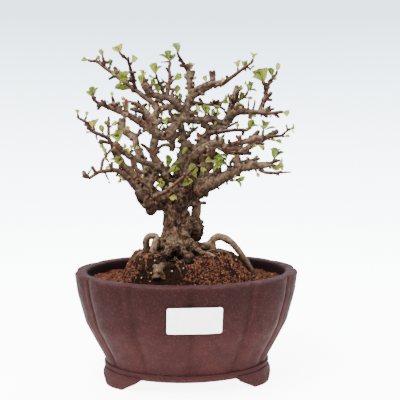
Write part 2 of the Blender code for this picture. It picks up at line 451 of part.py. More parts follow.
def lay_routes():
    """Every bough and root as rows in the front view, each starting on its parent's axis."""
    routes = {"trunk": fill_gaps(TRUNK, 0, 0)}
    for bough in BOUGHS + REAR_BOUGHS + ROOTS:
        start = nearest_row(routes[bough.parent], *bough.points[0][:2])
        rows = fill_gaps(bough.points, start[3], start[3] + bough.reach)
        if math.dist(start[[0, 1, 3]], rows[0][[0, 1, 3]]) > 1.0:
            start[2] = min(start[2] * 0.9, rows[0][2])
            rows = np.vstack((start, rows))
        routes[bough.name] = drop_straight(rows)
    return routes


def to_space(rows):
    """Points and radii in space from rows in the front view."""
    points = [from_front(row[0], row[1], row[3]) for row in rows]
    radii = [row[2] * (1 - row[3] / EYE.y) for row in rows]
    return points, radii


def clear_scene():
    """Removes whatever the file holds."""
    for obj in list(bpy.data.objects):
        bpy.data.objects.remove(obj)


def new_collection(name):
    """A collection linked to the scene."""
    group = bpy.data.collections.new(name)
    bpy.context.scene.collection.children.link(group)
    return group


def material(name, look, metallic=0.0):
    """A Principled material from a (colour, roughness) pair."""
    mat = bpy.data.materials.new(name)
    mat.use_nodes = True
    shader = mat.node_tree.nodes["Principled BSDF"]
    shader.inputs["Base Color"].default_value = (*look[0], 1)
    shader.inputs["Roughness"].default_value = look[1]
    shader.inputs["Metallic"].default_value = metallic
    return mat


def add_mesh(name, bm, group, mat=None):
    """Object from a bmesh in millimetres."""
    bmesh.ops.scale(bm, vec=(MM, MM, MM), verts=bm.verts)
    bmesh.ops.recalc_face_normals(bm, faces=bm.faces)
    mesh = bpy.data.meshes.new(name)
    bm.to_mesh(mesh)
    bm.free()
    obj = bpy.data.objects.new(name, mesh)
    group.objects.link(obj)
    if mat:
        mesh.materials.append(mat)
    return obj


def bake(obj):
    """Replaces an object's mesh with its evaluated one, modifiers applied."""
    graph = bpy.context.evaluated_depsgraph_get()
    graph.update()
    mesh = bpy.data.meshes.new_from_object(obj.evaluated_get(graph))
    obj.modifiers.clear()
    obj.data = mesh


def combine(target, others, operation="UNION"):
    """One Boolean with a collection of the other objects, applied; they are then removed."""
    group = new_collection("operands")
    for obj in others:
        for owner in list(obj.users_collection):
            owner.objects.unlink(obj)
        group.objects.link(obj)
    step = target.modifiers.new(operation.lower(), "BOOLEAN")
    step.operation = operation
    step.operand_type = "COLLECTION"
    step.collection = group
    step.solver = "EXACT"
    bake(target)
    for obj in list(group.objects):
        bpy.data.objects.remove(obj)
    bpy.data.collections.remove(group)


def loft(rings):
    """Closed bmesh through rings of equal count, capped at both ends."""
    bm = bmesh.new()
    rows = [[bm.verts.new(point) for point in ring] for ring in rings]
    for low, high in zip(rows, rows[1:]):
        for i in range(len(low)):
            j = (i + 1) % len(low)
            bm.faces.new((low[i], low[j], high[j], high[i]))
    bm.faces.new(reversed(rows[0]))
    bm.faces.new(rows[-1])
    return bm


def bevel_resolution(widest):
    """A thick bough gets more sides than a twig: a curve has 4 and two for each step."""
    return 2 if widest > EIGHT_SIDES_OVER else 1 if widest > SIX_SIDES_OVER else 0


def tube(name, points, radii, group):
    """Mesh tube along points in millimetres, from a curve object with filled caps.

    Its turn about its own axis comes from its place, so that no two tubes' edges line up.
    """
    curve = bpy.data.curves.new(name, "CURVE")
    curve.dimensions = "3D"
    curve.bevel_depth = MM
    steps = bevel_resolution(max(radii))
    curve.bevel_resolution = steps
    curve.use_fill_caps = True
    spline = curve.splines.new("POLY")
    spline.points.add(len(points) - 1)
    for spot, place, radius in zip(spline.points, points, radii):
        spot.co = (*(place * MM), 1)
        spot.radius = radius * ROUNDING[steps]
        spot.tilt = points[0].x
    source = bpy.data.objects.new(name, curve)
    group.objects.link(source)
    graph = bpy.context.evaluated_depsgraph_get()
    mesh = bpy.data.meshes.new_from_object(source.evaluated_get(graph))
    bpy.data.objects.remove(source)
    bm = bmesh.new()
    bm.from_mesh(mesh)
    bmesh.ops.remove_doubles(bm, verts=bm.verts, dist=1e-6)
    bmesh.ops.recalc_face_normals(bm, faces=bm.faces)
    bm.to_mesh(mesh)
    bm.free()
    obj = bpy.data.objects.new(name, mesh)
    group.objects.link(obj)
    return obj


def oval(half_width, turn, bulge=0.0):
    """Place on the pot's oval: turn 0 is the front, and grows towards +X."""
    half_depth = half_width - OVAL_INSET
    place = Vector((half_width * math.sin(turn), -half_depth * math.cos(turn), 0))
    outward = Vector((math.sin(turn) / half_width, -math.cos(turn) / half_depth, 0)).normalized()
    return place + outward * bulge


def lobe_bulge(turn):
    """How far a lobe stands out: sharp grooves, round backs."""
    return LOBE_DEPTH * (1 - (1 - abs(math.sin(turn * LOBES / 2))) ** 2)


def profile_width(profile, z):
    """Half-width of a (z, half-width) profile at a height."""
    rows = sorted(profile)
    return float(np.interp(z, [row[0] for row in rows], [row[1] for row in rows]))


def pot_ring(z, half_width, lobes):
    """Ring of the pot: lobes is the share of the full lobe depth."""
    base = half_width - 0.6 * LOBE_DEPTH * lobes
    turns = [2 * math.pi * i / POT_SIDES for i in range(POT_SIDES)]
    return [oval(base, t, lobes * lobe_bulge(t)) + Vector((0, 0, z)) for t in turns]


def make_foot(centre, group):
    """Cloud foot: deep and splayed out in the middle, rising to the ledge at both ends."""
    bm = bmesh.new()
    sections = []
    high = LEDGE_BOTTOM + FOOT_SUNK
    for i in range(FOOT_STEPS + 1):
        share = 2 * i / FOOT_STEPS - 1
        rise = max(0.0, (abs(share) - FOOT_FLAT) / (1 - FOOT_FLAT))
        low = LEDGE_BOTTOM * (1.05 * rise ** 0.8 - 0.22 * math.sin(math.pi * rise) * rise)
        turn = math.radians(centre + share * FOOT_HALF_TURN)
        splayed = oval(LEDGE_HALF_WIDTH, turn, FOOT_PROUD + FOOT_FLARE * (1 - abs(share)) ** 0.5)
        outer = oval(LEDGE_HALF_WIDTH, turn, FOOT_PROUD)
        inner = oval(LEDGE_HALF_WIDTH, turn, -FOOT_INNER)
        section = [splayed + Vector((0, 0, low)), outer + Vector((0, 0, high)),
                   inner + Vector((0, 0, high)), inner + Vector((0, 0, low))]
        sections.append([bm.verts.new(p) for p in section])
    for a, b in zip(sections, sections[1:]):
        for i in range(4):
            bm.faces.new((a[i], a[(i + 1) % 4], b[(i + 1) % 4], b[i]))
    bm.faces.new(reversed(sections[0]))
    bm.faces.new(sections[-1])
    return add_mesh("foot", bm, group)


def make_pot(group, cutters):
    """Pot fired in one piece, with its lobes, ledge, lip, feet and drainage holes."""
    rings = [pot_ring(LEDGE_BOTTOM, LEDGE_HALF_WIDTH, 0), pot_ring(LEDGE_TOP, LEDGE_HALF_WIDTH + 0.4, 0)]
    rings += [pot_ring(z, half, 1 if z > LEDGE_TOP + 2 else 0.5) for z, half in POT_WALL]
    rings += [pot_ring(z, half, 0) for z, half in INNER_WALL]
    rings.append(pot_ring(FLOOR_TOP, FLOOR_HALF_WIDTH, 0))
    pot = add_mesh("pot", loft(rings), group, material("clay", CLAY))
    combine(pot, [make_foot(angle, group) for angle in FOOT_ANGLES])
    for side in (-1, 1):
        bm = bmesh.new()
        place = Matrix.Translation((side * DRAIN_OFFSET, 0, FLOOR_TOP))
        bmesh.ops.create_cone(bm, cap_ends=True, segments=DRAIN_SIDES, radius1=DRAIN_RADIUS, radius2=DRAIN_RADIUS,
                              depth=2 * FLOOR_TOP, matrix=place)
        add_mesh("drain_cutter", bm, cutters)
    combine(pot, list(cutters.objects), "DIFFERENCE")
    return pot


def make_drain_mesh(name, side, group, mat):
    """Square of plastic mesh that lies on the pot's floor over a drainage hole."""
    bm = bmesh.new()
    place = Matrix.Translation((side * DRAIN_OFFSET, 0, FLOOR_TOP + GAP))
    bmesh.ops.create_grid(bm, x_segments=MESH_HOLES, y_segments=MESH_HOLES, size=MESH_SIDE / 2, matrix=place)
    cells = list(bm.faces)
    bmesh.ops.inset_individual(bm, faces=cells, thickness=MESH_BAR / 2)
    bmesh.ops.delete(bm, geom=cells, context="FACES_ONLY")
    sheet = list(bm.faces)
    copy = bmesh.ops.extrude_face_region(bm, geom=sheet)
    lifted = [v for v in copy["geom"] if isinstance(v, bmesh.types.BMVert)]
    bmesh.ops.translate(bm, verts=lifted, vec=(0, 0, MESH_THICK))
    return add_mesh(name, bm, group, mat)


def soil_height(x, y):
    """Height of the soil: a mound on a level bed, steeper on its left."""
    across = (x - MOUND_CENTRE[0]) / (MOUND_LEFT if x < MOUND_CENTRE[0] else MOUND_RIGHT)
    reach = math.hypot(across, (y - MOUND_CENTRE[1]) / MOUND_DEPTH)
    steep = MOUND_STEEP - MOUND_SKEW * across / max(reach, 1e-6)
    share = min(max((1 - reach) / (1 - steep), 0), 1)
    return SOIL_RIM + MOUND_RISE * share * share * (3 - 2 * share)


def soil_ring(z, shrink=0.0):
    """Ring of the soil's side, a gap inside the pot's wall."""
    half = profile_width(INNER_WALL + ((FLOOR_TOP, FLOOR_HALF_WIDTH),), z) - GAP - 0.1 - shrink
    turns = [2 * math.pi * i / SOIL_SIDES for i in range(SOIL_SIDES)]
    return [oval(half, t) + Vector((0, 0, z)) for t in turns]


def make_soil(group, cutters, mat):
    """Soil that fills the pot, with a grainy top, channels for the roots and beds for the drain meshes."""
    draw = random.Random(SEED)
    bottom = FLOOR_TOP + GAP
    rings = [soil_ring(bottom)] + [soil_ring(row[0]) for row in INNER_WALL[:1:-1]] + [soil_ring(SOIL_RIM - 0.5)]
    rim = soil_ring(SOIL_RIM)
    bm = loft(rings + [rim])
    bm.faces.ensure_lookup_table()
    bmesh.ops.delete(bm, geom=[bm.faces[-1]], context="FACES_ONLY")
    bm.verts.ensure_lookup_table()
    last = [bm.verts[i] for i in range(len(rings) * SOIL_SIDES, (len(rings) + 1) * SOIL_SIDES)]
    for step in range(1, SOIL_RINGS):
        share = 1 - step / SOIL_RINGS
        ring = []
        for point in rim:
            x = point.x * share + draw.uniform(-1, 1) * (1 - share)
            y = point.y * share + draw.uniform(-1, 1) * (1 - share)
            z = soil_height(x, y) + draw.uniform(-1, 1) * GRAIN_RELIEF
            ring.append(bm.verts.new((x, y, z)))
        for i in range(SOIL_SIDES):
            j = (i + 1) % SOIL_SIDES
            bm.faces.new((last[i], last[j], ring[j], ring[i]))
        last = ring
    bm.faces.new(last)
    soil = add_mesh("soil", bm, group, mat)
    for side in (-1, 1):
        bm = bmesh.new()
        room = MESH_SIDE + 2 * ROOT_ROOM
        high = MESH_THICK + 2 * GAP
        place = Matrix.Translation((side * DRAIN_OFFSET, 0, bottom - 1 + high / 2))
        bmesh.ops.create_cube(bm, size=1, matrix=place @ Matrix.Diagonal((room, room, high + 2, 1)))
        add_mesh("mesh_bed_cutter", bm, cutters)
    combine(soil, list(cutters.objects), "DIFFERENCE")
    return soil


def label_ring(z, trim):
    """Ring of the label at a height: along the pot's wall, then back a thickness further out."""
    half = profile_width(POT_WALL, z)
    base = half - 0.6 * LOBE_DEPTH
    widest = math.asin((LABEL_HALF_WIDTH - trim) / half)
    turns = [LABEL_TURN + widest * (2 * i / (LABEL_COLUMNS - 1) - 1) for i in range(LABEL_COLUMNS)]
    near = [oval(base, t, max(lobe_bulge(t), LABEL_BRIDGE) + GAP + 0.1) for t in turns]
    far = [oval(base, t, max(lobe_bulge(t), LABEL_BRIDGE) + GAP + 0.1 + LABEL_THICK) for t in turns]
    return [p + Vector((0, 0, z)) for p in near + far[::-1]]


def make_label(group):
    """Blank paper label that bridges the groove at the pot's front."""
    first, last = LABEL_LOW + LABEL_CORNER, LABEL_HIGH - LABEL_CORNER
    heights = [first] + [row[0] for row in POT_WALL if first + 1 < row[0] < last - 1] + [last]
    rings = [label_ring(LABEL_LOW, LABEL_CORNER)] + [label_ring(z, 0) for z in heights]
    rings.append(label_ring(LABEL_HIGH, LABEL_CORNER))
    return add_mesh("label", loft(rings), group, material("paper", PAPER))


def trunk_rings(rows, room=0.0):
    """Rings of the trunk: lumpy, and wider by the room that a cutter needs."""
    rings = []
    for index, row in enumerate(rows):
        drop = -2 * room if index == 0 else 0.0
        centre = from_front(row[0], row[1] + drop, row[3])
        ring = []
        for i in range(TRUNK_SIDES):
            turn = 2 * math.pi * i / TRUNK_SIDES
            lumps = sum(size * math.sin(count * turn + row[1] / run) for count, size, run in TRUNK_LUMPS)
            radius = row[2] * (1 + lumps) + room
            ring.append(centre + Vector((radius * math.cos(turn), radius * math.sin(turn), 0)))
        rings.append(ring)
    return rings


def trunk_body(rows, room=0.0):
    """Closed trunk, split into triangles alike with and without the room, so that the two stay apart."""
    bm = loft(trunk_rings(rows, room))
    bmesh.ops.triangulate(bm, faces=list(bm.faces), quad_method="FIXED")
    return bm


def capsules(shapes):
    """Arrays of start, end and radius for every straight stretch of (points, radii) tubes."""
    starts, ends, widths = [], [], []
    for points, radii in shapes:
        for i in range(len(points) - 1):
            starts.append(points[i])
            ends.append(points[i + 1])
            widths.append(max(radii[i], radii[i + 1]))
    return np.array(starts), np.array(ends), np.array(widths)


def room_left(samples, wood):
    """Least distance from sample points to the surface of the capsules."""
    start, end, width = wood
    along = end - start
    length = np.maximum((along ** 2).sum(axis=1), 1e-9)
    offset = samples[:, None, :] - start[None, :, :]
    share = np.clip((offset * along).sum(axis=2) / length, 0, 1)
    gap = np.linalg.norm(offset - share[:, :, None] * along, axis=2) - width
    return float(gap.min())


class Seat(NamedTuple):
    """A flat spur end: where it is, the way it faces, and the tube that makes it, if it has its own."""

    place: Vector
    axis: Vector
    points: list
    radii: list


def lean_axis(lean, toward):
    """Unit vector at a lean from vertical in the front view, with a share towards the back."""
    tilt = math.radians(lean)
    axis = Vector((math.sin(tilt), toward, math.cos(tilt))).normalized()
    return Matrix.Rotation(VIEW_TURN, 3, "Z") @ axis


def make_seat(route, shape, spot, radius=SPUR_RADIUS):
    """Flat end that faces along the lean: a spur from the nearest place on a bough, or its tip drawn out.

    Args:
        route: The bough's rows in the front view.
        shape: The bough's (points, radii) in space, which a seat at its tip makes longer.
        spot: Across, up, lean from vertical in degrees, and share towards the back.
        radius: Radius of the spur's end.
    """
    across, up, lean, toward = spot
    row = nearest_row(route, across, up)
    root = from_front(row[0], row[1], row[3])
    axis = lean_axis(lean, toward)
    width = row[2] * (1 - row[3] / EYE.y)
    place = from_front(across, up, row[3])
    points, radii = shape
    onward = (points[-1] - points[-2]).normalized()
    if (root - points[-1]).length < 0.01 and radii[-1] < TIP_RADIUS_MOST and onward.dot(axis) > 0.35:
        points.append(points[-1] + axis * TIP_STEP)
        radii.append(radius)
        return Seat(points[-1], axis, [], [])
    if (place - root).length < width + 1.2:
        place = root + axis * (width + SEAT_STEP)
        points = [root, place]
    else:
        points = [root, place - axis * SEAT_STEP, place]
    return Seat(place, axis, points, [radius] * len(points))


def perpendicular(axis, turn):
    """Unit vector square to an axis, at a turn about it."""
    side = axis.orthogonal().normalized()
    return Matrix.Rotation(turn, 3, axis) @ side


def grow_stubs(shapes, seats, draw):
    """Short dormant spurs along the boughs, clear of the seats."""
    stubs = []
    for points, radii in shapes:
        if max(radii) < 1.0:
            continue
        walked, due = 0.0, draw.uniform(*STUB_FIRST)
        for i in range(1, len(points) - 1):
            walked += (points[i] - points[i - 1]).length
            if walked < due:
                continue
            walked, due = 0.0, draw.uniform(*STUB_EVERY)
            along = (points[i + 1] - points[i - 1]).normalized()
            out = perpendicular(along, draw.uniform(0, 2 * math.pi))
            way = (out + along * draw.uniform(0.1, 0.8) + Vector((0, 0, 0.35))).normalized()
            end = points[i] + way * (radii[i] + draw.uniform(*STUB_LENGTH))
            if min((end - seat.place).length for seat in seats) > STUB_ROOM:
                stubs.append(([points[i], end], list(STUB_RADII)))
    return stubs


def blade_spot(t, s, size, curl, frame):
    """Place on a blade: t along its rib, s of its half-width across, folded up and arched back."""
    length, width = size
    arch, fold = curl
    swing = arch * t
    along = length * math.sin(swing) / arch
    sink = length * (1 - math.cos(swing)) / arch
    return frame @ Vector((along, s * width / 2, abs(s) * width * fold - sink))


def blade(size, edge, curl, frame, thick=LEAF_THICK):
    """Closed bmesh of a blade with a toothed outline: an open surface, solidified."""
    bm = bmesh.new()
    base, middle, tip = (bm.verts.new(blade_spot(t, 0, size, curl, frame)) for t in (0, 0.55, 1))
    for side in (-1, 1):
        border = [base] + [bm.verts.new(blade_spot(t, s * side, size, curl, frame)) for t, s in edge] + [tip]
        for a, b in zip(border, border[1:]):
            corners = (a, b, middle) if side > 0 else (b, a, middle)
            bm.faces.new(corners)
    bmesh.ops.recalc_face_normals(bm, faces=bm.faces)
    bmesh.ops.solidify(bm, geom=list(bm.faces), thickness=thick)
    return bm


def blade_samples(size, edge, curl, frame):
    """Points spread over a blade, for the clearance test."""
    stations = [0.0] + [t for t, _ in edge] + [1.0]
    widths = [0.0] + [s for _, s in edge] + [0.0]
    spots = []
    for t in (0.14, 0.3, 0.45, 0.6, 0.75, 0.88, 1.0):
        half = np.interp(t, stations, widths)
        spots += [blade_spot(t, s * half, size, curl, frame) for s in (-1, -0.5, 0, 0.5, 1)]
    return np.array(spots)


def leaf_frame(seat, turn, tilt, lift):
    """Matrix whose X runs along a leaf that leaves the seat's axis at a tilt, and whose Z faces the axis."""
    out = perpendicular(seat.axis, turn)
    along = seat.axis * math.cos(tilt) + out * math.sin(tilt)
    normal = (seat.axis - along * seat.axis.dot(along)).normalized()
    across = normal.cross(along)
    frame = Matrix((along, across, normal)).transposed().to_4x4()
    frame.translation = seat.place + seat.axis * lift + out * (CORE_RADIUS * 0.45)
    return frame


def choose_leaf(seat, length, base_turn, tilt, wood, others, draw):
    """Leaf (size, curl, frame, samples) that clears the wood and the other tufts, or None."""
    for attempt in range(3 * LEAF_TRIES):
        shrink = 1 - 0.12 * (attempt // LEAF_TRIES)
        ease = 0.15 + attempt % LEAF_TRIES / LEAF_TRIES
        frame = leaf_frame(seat, base_turn + draw.uniform(-1, 1) * ease, tilt * draw.uniform(1 - 0.5 * ease, 1.15),
                           GAP + 0.75)
        size = (length * shrink, length * shrink * draw.uniform(0.46, 0.58))
        curl = (draw.uniform(0.25, 0.7), draw.uniform(0.08, 0.18))
        samples = blade_samples(size, LEAF_EDGE, curl, frame)
        if room_left(samples, wood) < LEAF_ROOM:
            continue
        if len(others) and np.linalg.norm(samples[:, None] - others[None], axis=2).min() < TUFT_ROOM:
            continue
        return size, curl, frame, samples
    return None


def make_core(seat, group, radius=CORE_RADIUS, height=CORE_HEIGHT):
    """Short stem of a tuft, a gap beyond its seat."""
    bm = bmesh.new()
    turn = seat.axis.to_track_quat("Z", "Y").to_matrix().to_4x4()
    place = Matrix.Translation(seat.place + seat.axis * (GAP + height / 2)) @ turn
    bmesh.ops.create_cone(bm, cap_ends=True, segments=5, radius1=radius, radius2=radius * 0.8, depth=height,
                          matrix=place)
    return add_mesh("core", bm, group)


def make_tuft(name, tuft, seat, surroundings, group, mat, draw):
    """Leaf tuft: blades fanned about a short stem, joined in one body."""
    wood, others = surroundings
    core = make_core(seat, group)
    start = draw.uniform(0, 2 * math.pi)
    blades, samples = [], []
    for k in range(tuft.leaves):
        tilt = math.radians(16 if k == 0 else draw.uniform(30, 55))
        length = tuft.length / math.cos(tilt) ** 0.5 * (1 if k == 0 else draw.uniform(0.7, 0.95))
        leaf = choose_leaf(seat, length, start + 2 * math.pi * k / tuft.leaves, tilt, wood, others, draw)
        if leaf is None:
            print("no room for leaf", k, "of", name)
            continue
        size, curl, frame, spots = leaf
        samples.append(spots)
        blades.append(add_mesh("blade", blade(size, LEAF_EDGE, curl, frame), group))
    combine(core, blades)
    core.name = name
    core.data.name = name
    core.data.materials.clear()
    core.data.materials.append(mat)
    return np.vstack(samples) if samples else np.empty((0, 3))


def turned(name, profile, sides, seat, group, mat, relief=None):
    """Closed body from a (height, radius) profile about the seat's axis, with a relief(turn) on its radius."""
    turn = seat.axis.to_track_quat("Z", "Y").to_matrix()
    rings = []
    for height, radius in profile:
        ring = []
        for i in range(sides):
            angle = 2 * math.pi * i / sides
            wide = radius * (relief(angle) if relief else 1)
            ring.append(seat.place + turn @ Vector((wide * math.cos(angle), wide * math.sin(angle), height)))
        rings.append(ring)
    return add_mesh(name, loft(rings), group, mat)


def make_bud(name, seat, looks, group):
    """Closed bud: a green calyx on the seat, and overlapping red petals a gap above it."""
    radius, height = BUD_SIZES[name]
    cup = [(GAP, CALYX_BASE), (GAP + 1.4, radius * 0.66), (GAP + CALYX_HEIGHT, radius * 0.8)]
    turned(name + "_calyx", cup, 7, seat, group, looks["calyx"])
    low = 2 * GAP + CALYX_HEIGHT
    ball = [(low, radius * 0.74), (low + height * 0.3, radius), (low + height * 0.6, radius * 0.9),
            (low + height * 0.85, radius * 0.55), (low + height, radius * 0.18)]
    turned(name + "_petals", ball, 9, seat, group, looks["petal"],
           lambda angle: 0.93 + 0.12 * ((angle * 3 / (2 * math.pi)) % 1))
    return capsules([([seat.place, seat.place + seat.axis * (low + height)], [radius, radius])])


def make_bloom(name, seat, looks, group, draw):
    """Open bloom: calyx on the seat, five layered petals on a disc, and stamens on a boss."""
    cup = [(GAP, CALYX_BASE), (GAP + 1.6, 1.7), (GAP + CALYX_HEIGHT, PETAL_DISC)]
    turned(name + "_calyx", cup, 7, seat, group, looks["calyx"])
    low = 2 * GAP + CALYX_HEIGHT
    disc = turned(name + "_petals", [(low, PETAL_DISC), (low + 1.0, PETAL_DISC * 0.95)], 5, seat, group,
                  looks["petal"])
    petals = []
    for k in range(PETAL_COUNT):
        tilt = math.radians(draw.uniform(64, 74))
        turn = 2 * math.pi * k / PETAL_COUNT + draw.uniform(-0.08, 0.08)
        frame = leaf_frame(seat, turn, tilt, low + draw.uniform(0.4, 0.6))
        curl = (-0.55, 0.08)
        petals.append(add_mesh("petal", blade(PETAL_SIZE, PETAL_EDGE, curl, frame), group))
    combine(disc, petals)
    top = low + 1.8
    boss = turned(name + "_stamens", [(top, 0.9), (top + 0.9, 0.8)], 5, seat, group, looks["stamen"])
    threads = []
    for k in range(STAMEN_COUNT):
        way = leaf_frame(seat, 2 * math.pi * k / STAMEN_COUNT, math.radians(draw.uniform(12, 34)), 0)
        along = way.to_3x3() @ Vector((1, 0, 0))
        foot = seat.place + seat.axis * (top + 0.4)
        threads.append(tube("thread", [foot, foot + along * draw.uniform(0.85, 1) * STAMEN_LENGTH],
                            [0.36, 0.42], group))
    combine(boss, threads)
    reach = seat.place + seat.axis * (low + 6)
    return capsules([([seat.place + seat.axis * low, reach], [10.0, 10.0])])


def join_capsules(*parts):
    """One set of capsule arrays from several."""
    return tuple(np.concatenate([part[k] for part in parts]) for k in range(3))


def keep_largest(obj):
    """Deletes the crumbs that a cut leaves beside an object's main body."""
    bm = bmesh.new()
    bm.from_mesh(obj.data)
    left, islands = set(bm.verts), []
    while left:
        stack, island = [left.pop()], set()
        while stack:
            vert = stack.pop()
            island.add(vert)
            for edge in vert.link_edges:
                other = edge.other_vert(vert)
                if other in left:
                    left.discard(other)
                    stack.append(other)
        islands.append(island)
    islands.sort(key=len)
    for island in islands[:-1]:
        bmesh.ops.delete(bm, geom=list(island), context="VERTS")
    bmesh.ops.dissolve_degenerate(bm, edges=bm.edges, dist=1e-6)
    bm.to_mesh(obj.data)
    bm.free()


def make_wood(trunk, limbs, group):
    """Trunk with its boughs, twigs, spurs and roots, grown together in one body."""
    wood = add_mesh("wood", trunk_body(trunk), group)
    combine(wood, [tube("limb", points, radii, group) for points, radii in limbs])
    keep_largest(wood)
    wood.data.materials.clear()
    wood.data.materials.append(material("bark", BARK))
    return wood


def cut_channels(soil, routes, cutters):
    """Cuts the trunk's hole and the roots' channels in the soil."""
    tools = [add_mesh("trunk_cutter", trunk_body(routes["trunk"], ROOT_ROOM), cutters)]
    for root in ROOTS:
        points, radii = to_space(routes[root.name])
        last = (points[-1] - points[-2]).normalized()
        points = points[:-1] + [points[-1] + last * 2 * ROOT_ROOM]
        tools.append(tube("root_cutter", points, [r + ROOT_ROOM * 1.25 for r in radii], cutters))
    combine(soil, tools, "DIFFERENCE")
    keep_largest(soil)


def grow_tree(group, draw):
    """Wood with every spur, then the buds, blooms and leaf tufts on their seats."""
    routes = lay_routes()
    shapes = {name: to_space(rows) for name, rows in routes.items()}
    seats = {}
    for number, tuft in enumerate(TUFTS, 1):
        spot = (tuft.across, tuft.up, tuft.lean, tuft.toward + draw.uniform(-0.15, 0.15))
        seats[f"leaf_tuft_{number:02d}"] = make_seat(routes[tuft.bough], shapes[tuft.bough], spot)
    flowers = {name: make_seat(routes[spot[0]], shapes[spot[0]], spot[1:], CALYX_BASE)
               for name, spot in (BUD_SEATS | BLOOM_SEATS).items()}
    every = list(seats.values()) + list(flowers.values())
    stubs = grow_stubs([shapes[bough.name] for bough in BOUGHS + REAR_BOUGHS], every, draw)
    spurs = [(seat.points, seat.radii) for seat in every if seat.points]
    limbs = [shape for name, shape in shapes.items() if name != "trunk"]
    make_wood(routes["trunk"], limbs + spurs + stubs, group)
    wood = capsules(list(shapes.values()) + spurs + stubs)
    wood = open_flowers(flowers, wood, group, draw)
    greens = (material("leaf_green", LEAF_GREEN), material("leaf_young", LEAF_PALE))
    grown = np.empty((0, 3))
    for number, tuft in enumerate(TUFTS, 1):
        name = f"leaf_tuft_{number:02d}"
        spots = make_tuft(name, tuft, seats[name], (wood, grown), group, greens[tuft.leaves < 3], draw)
        grown = np.vstack((grown, spots))
    return routes


def open_flowers(flowers, wood, group, draw):
    """Buds and blooms on their seats; returns the capsules with theirs added."""
    looks = {"petal": material("petal_red", PETAL_RED), "stamen": material("stamen_cream", STAMEN_CREAM),
             "calyx": material("calyx_green", CALYX_GREEN)}
    for name in BUD_SEATS:
        wood = join_capsules(wood, make_bud(name, flowers[name], looks, group))
    for name in BLOOM_SEATS:
        wood = join_capsules(wood, make_bloom(name, flowers[name], looks, group, draw))
    return wood


def main():
    """Builds every part of the bonsai."""
    clear_scene()
    parts = new_collection("quince_bonsai")
    cutters = new_collection("cutters")
    draw = random.Random(SEED)
    make_pot(parts, cutters)
    black = material("mesh_plastic", MESH_BLACK)
    make_drain_mesh("drain_mesh_left", -1, parts, black)
    make_drain_mesh("drain_mesh_right", 1, parts, black)
    make_label(parts)
    soil = make_soil(parts, cutters, material("soil", SOIL_BROWN))
    routes = grow_tree(parts, draw)
    cut_channels(soil, routes, cutters)


main()
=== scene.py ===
"""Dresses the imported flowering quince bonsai: bark, leaves, flowers, soil, pot, label and a plain studio.

Shapes are worked out in millimetres in the CAD frame, and become metres when a mesh is made.
Places in the crown are given in the front view, as across and up, and put on the wood along
the eye's line through them.
"""

from __future__ import annotations

import json
import logging
import math
import random
from dataclasses import dataclass
from enum import Enum
from typing import Callable, NamedTuple, Sequence

import bmesh
import bpy
import numpy as np
from mathutils import Matrix, Vector, noise
from mathutils.bvhtree import BVHTree

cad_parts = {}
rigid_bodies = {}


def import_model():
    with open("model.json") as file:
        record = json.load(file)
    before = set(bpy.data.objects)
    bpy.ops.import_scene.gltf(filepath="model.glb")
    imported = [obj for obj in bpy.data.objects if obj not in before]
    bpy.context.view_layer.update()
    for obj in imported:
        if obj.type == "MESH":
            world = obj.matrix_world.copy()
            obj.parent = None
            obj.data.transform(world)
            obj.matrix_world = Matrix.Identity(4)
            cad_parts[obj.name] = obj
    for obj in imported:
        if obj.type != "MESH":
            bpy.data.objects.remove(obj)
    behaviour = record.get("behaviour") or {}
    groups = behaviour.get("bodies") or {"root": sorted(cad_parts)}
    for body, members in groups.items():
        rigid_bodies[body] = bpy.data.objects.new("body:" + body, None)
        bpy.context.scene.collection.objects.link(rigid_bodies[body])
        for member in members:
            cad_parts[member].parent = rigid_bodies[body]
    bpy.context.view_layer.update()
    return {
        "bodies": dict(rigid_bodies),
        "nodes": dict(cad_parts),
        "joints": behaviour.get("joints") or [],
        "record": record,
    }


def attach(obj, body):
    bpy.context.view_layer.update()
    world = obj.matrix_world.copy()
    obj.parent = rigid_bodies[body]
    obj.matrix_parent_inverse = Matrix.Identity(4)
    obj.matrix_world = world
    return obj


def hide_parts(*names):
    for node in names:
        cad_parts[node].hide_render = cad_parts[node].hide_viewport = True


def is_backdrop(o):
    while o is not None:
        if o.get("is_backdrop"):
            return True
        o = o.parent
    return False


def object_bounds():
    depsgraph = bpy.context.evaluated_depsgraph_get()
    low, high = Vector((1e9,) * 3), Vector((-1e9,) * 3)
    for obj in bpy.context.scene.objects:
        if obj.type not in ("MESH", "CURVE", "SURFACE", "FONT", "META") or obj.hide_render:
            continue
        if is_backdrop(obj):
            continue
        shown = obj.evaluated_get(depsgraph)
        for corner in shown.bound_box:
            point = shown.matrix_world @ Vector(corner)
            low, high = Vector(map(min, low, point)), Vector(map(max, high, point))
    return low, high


LOG = logging.getLogger("quince_bonsai")
MM = 0.001
BODY = "root"
FULL_TURN = 2 * math.pi
MERGE = 1e-6

Collection = bpy.types.Collection
Material = bpy.types.Material
Mesh = bpy.types.Mesh
Node = bpy.types.Node
NodeTree = bpy.types.NodeTree
Object = bpy.types.Object
Socket = bpy.types.NodeSocket
Colour = tuple[float, float, float]
Face = tuple[int, ...]
Rows = tuple[tuple[float, ...], ...]


# Numbers


def unit(value: float) -> float:
    """A number held between 0 and 1."""
    return min(max(value, 0.0), 1.0)


def ramp(values: np.ndarray, start: float, end: float) -> np.ndarray:
    """Shares that run from 0 at a start to 1 at an end, and stay there past them."""
    return np.clip((values - start) / (end - start), 0, 1)


def jitter(draw: random.Random, reach: float) -> Vector:
    """Random offset within a reach along each axis."""
    return Vector([draw.uniform(-reach, reach) for _ in range(3)])


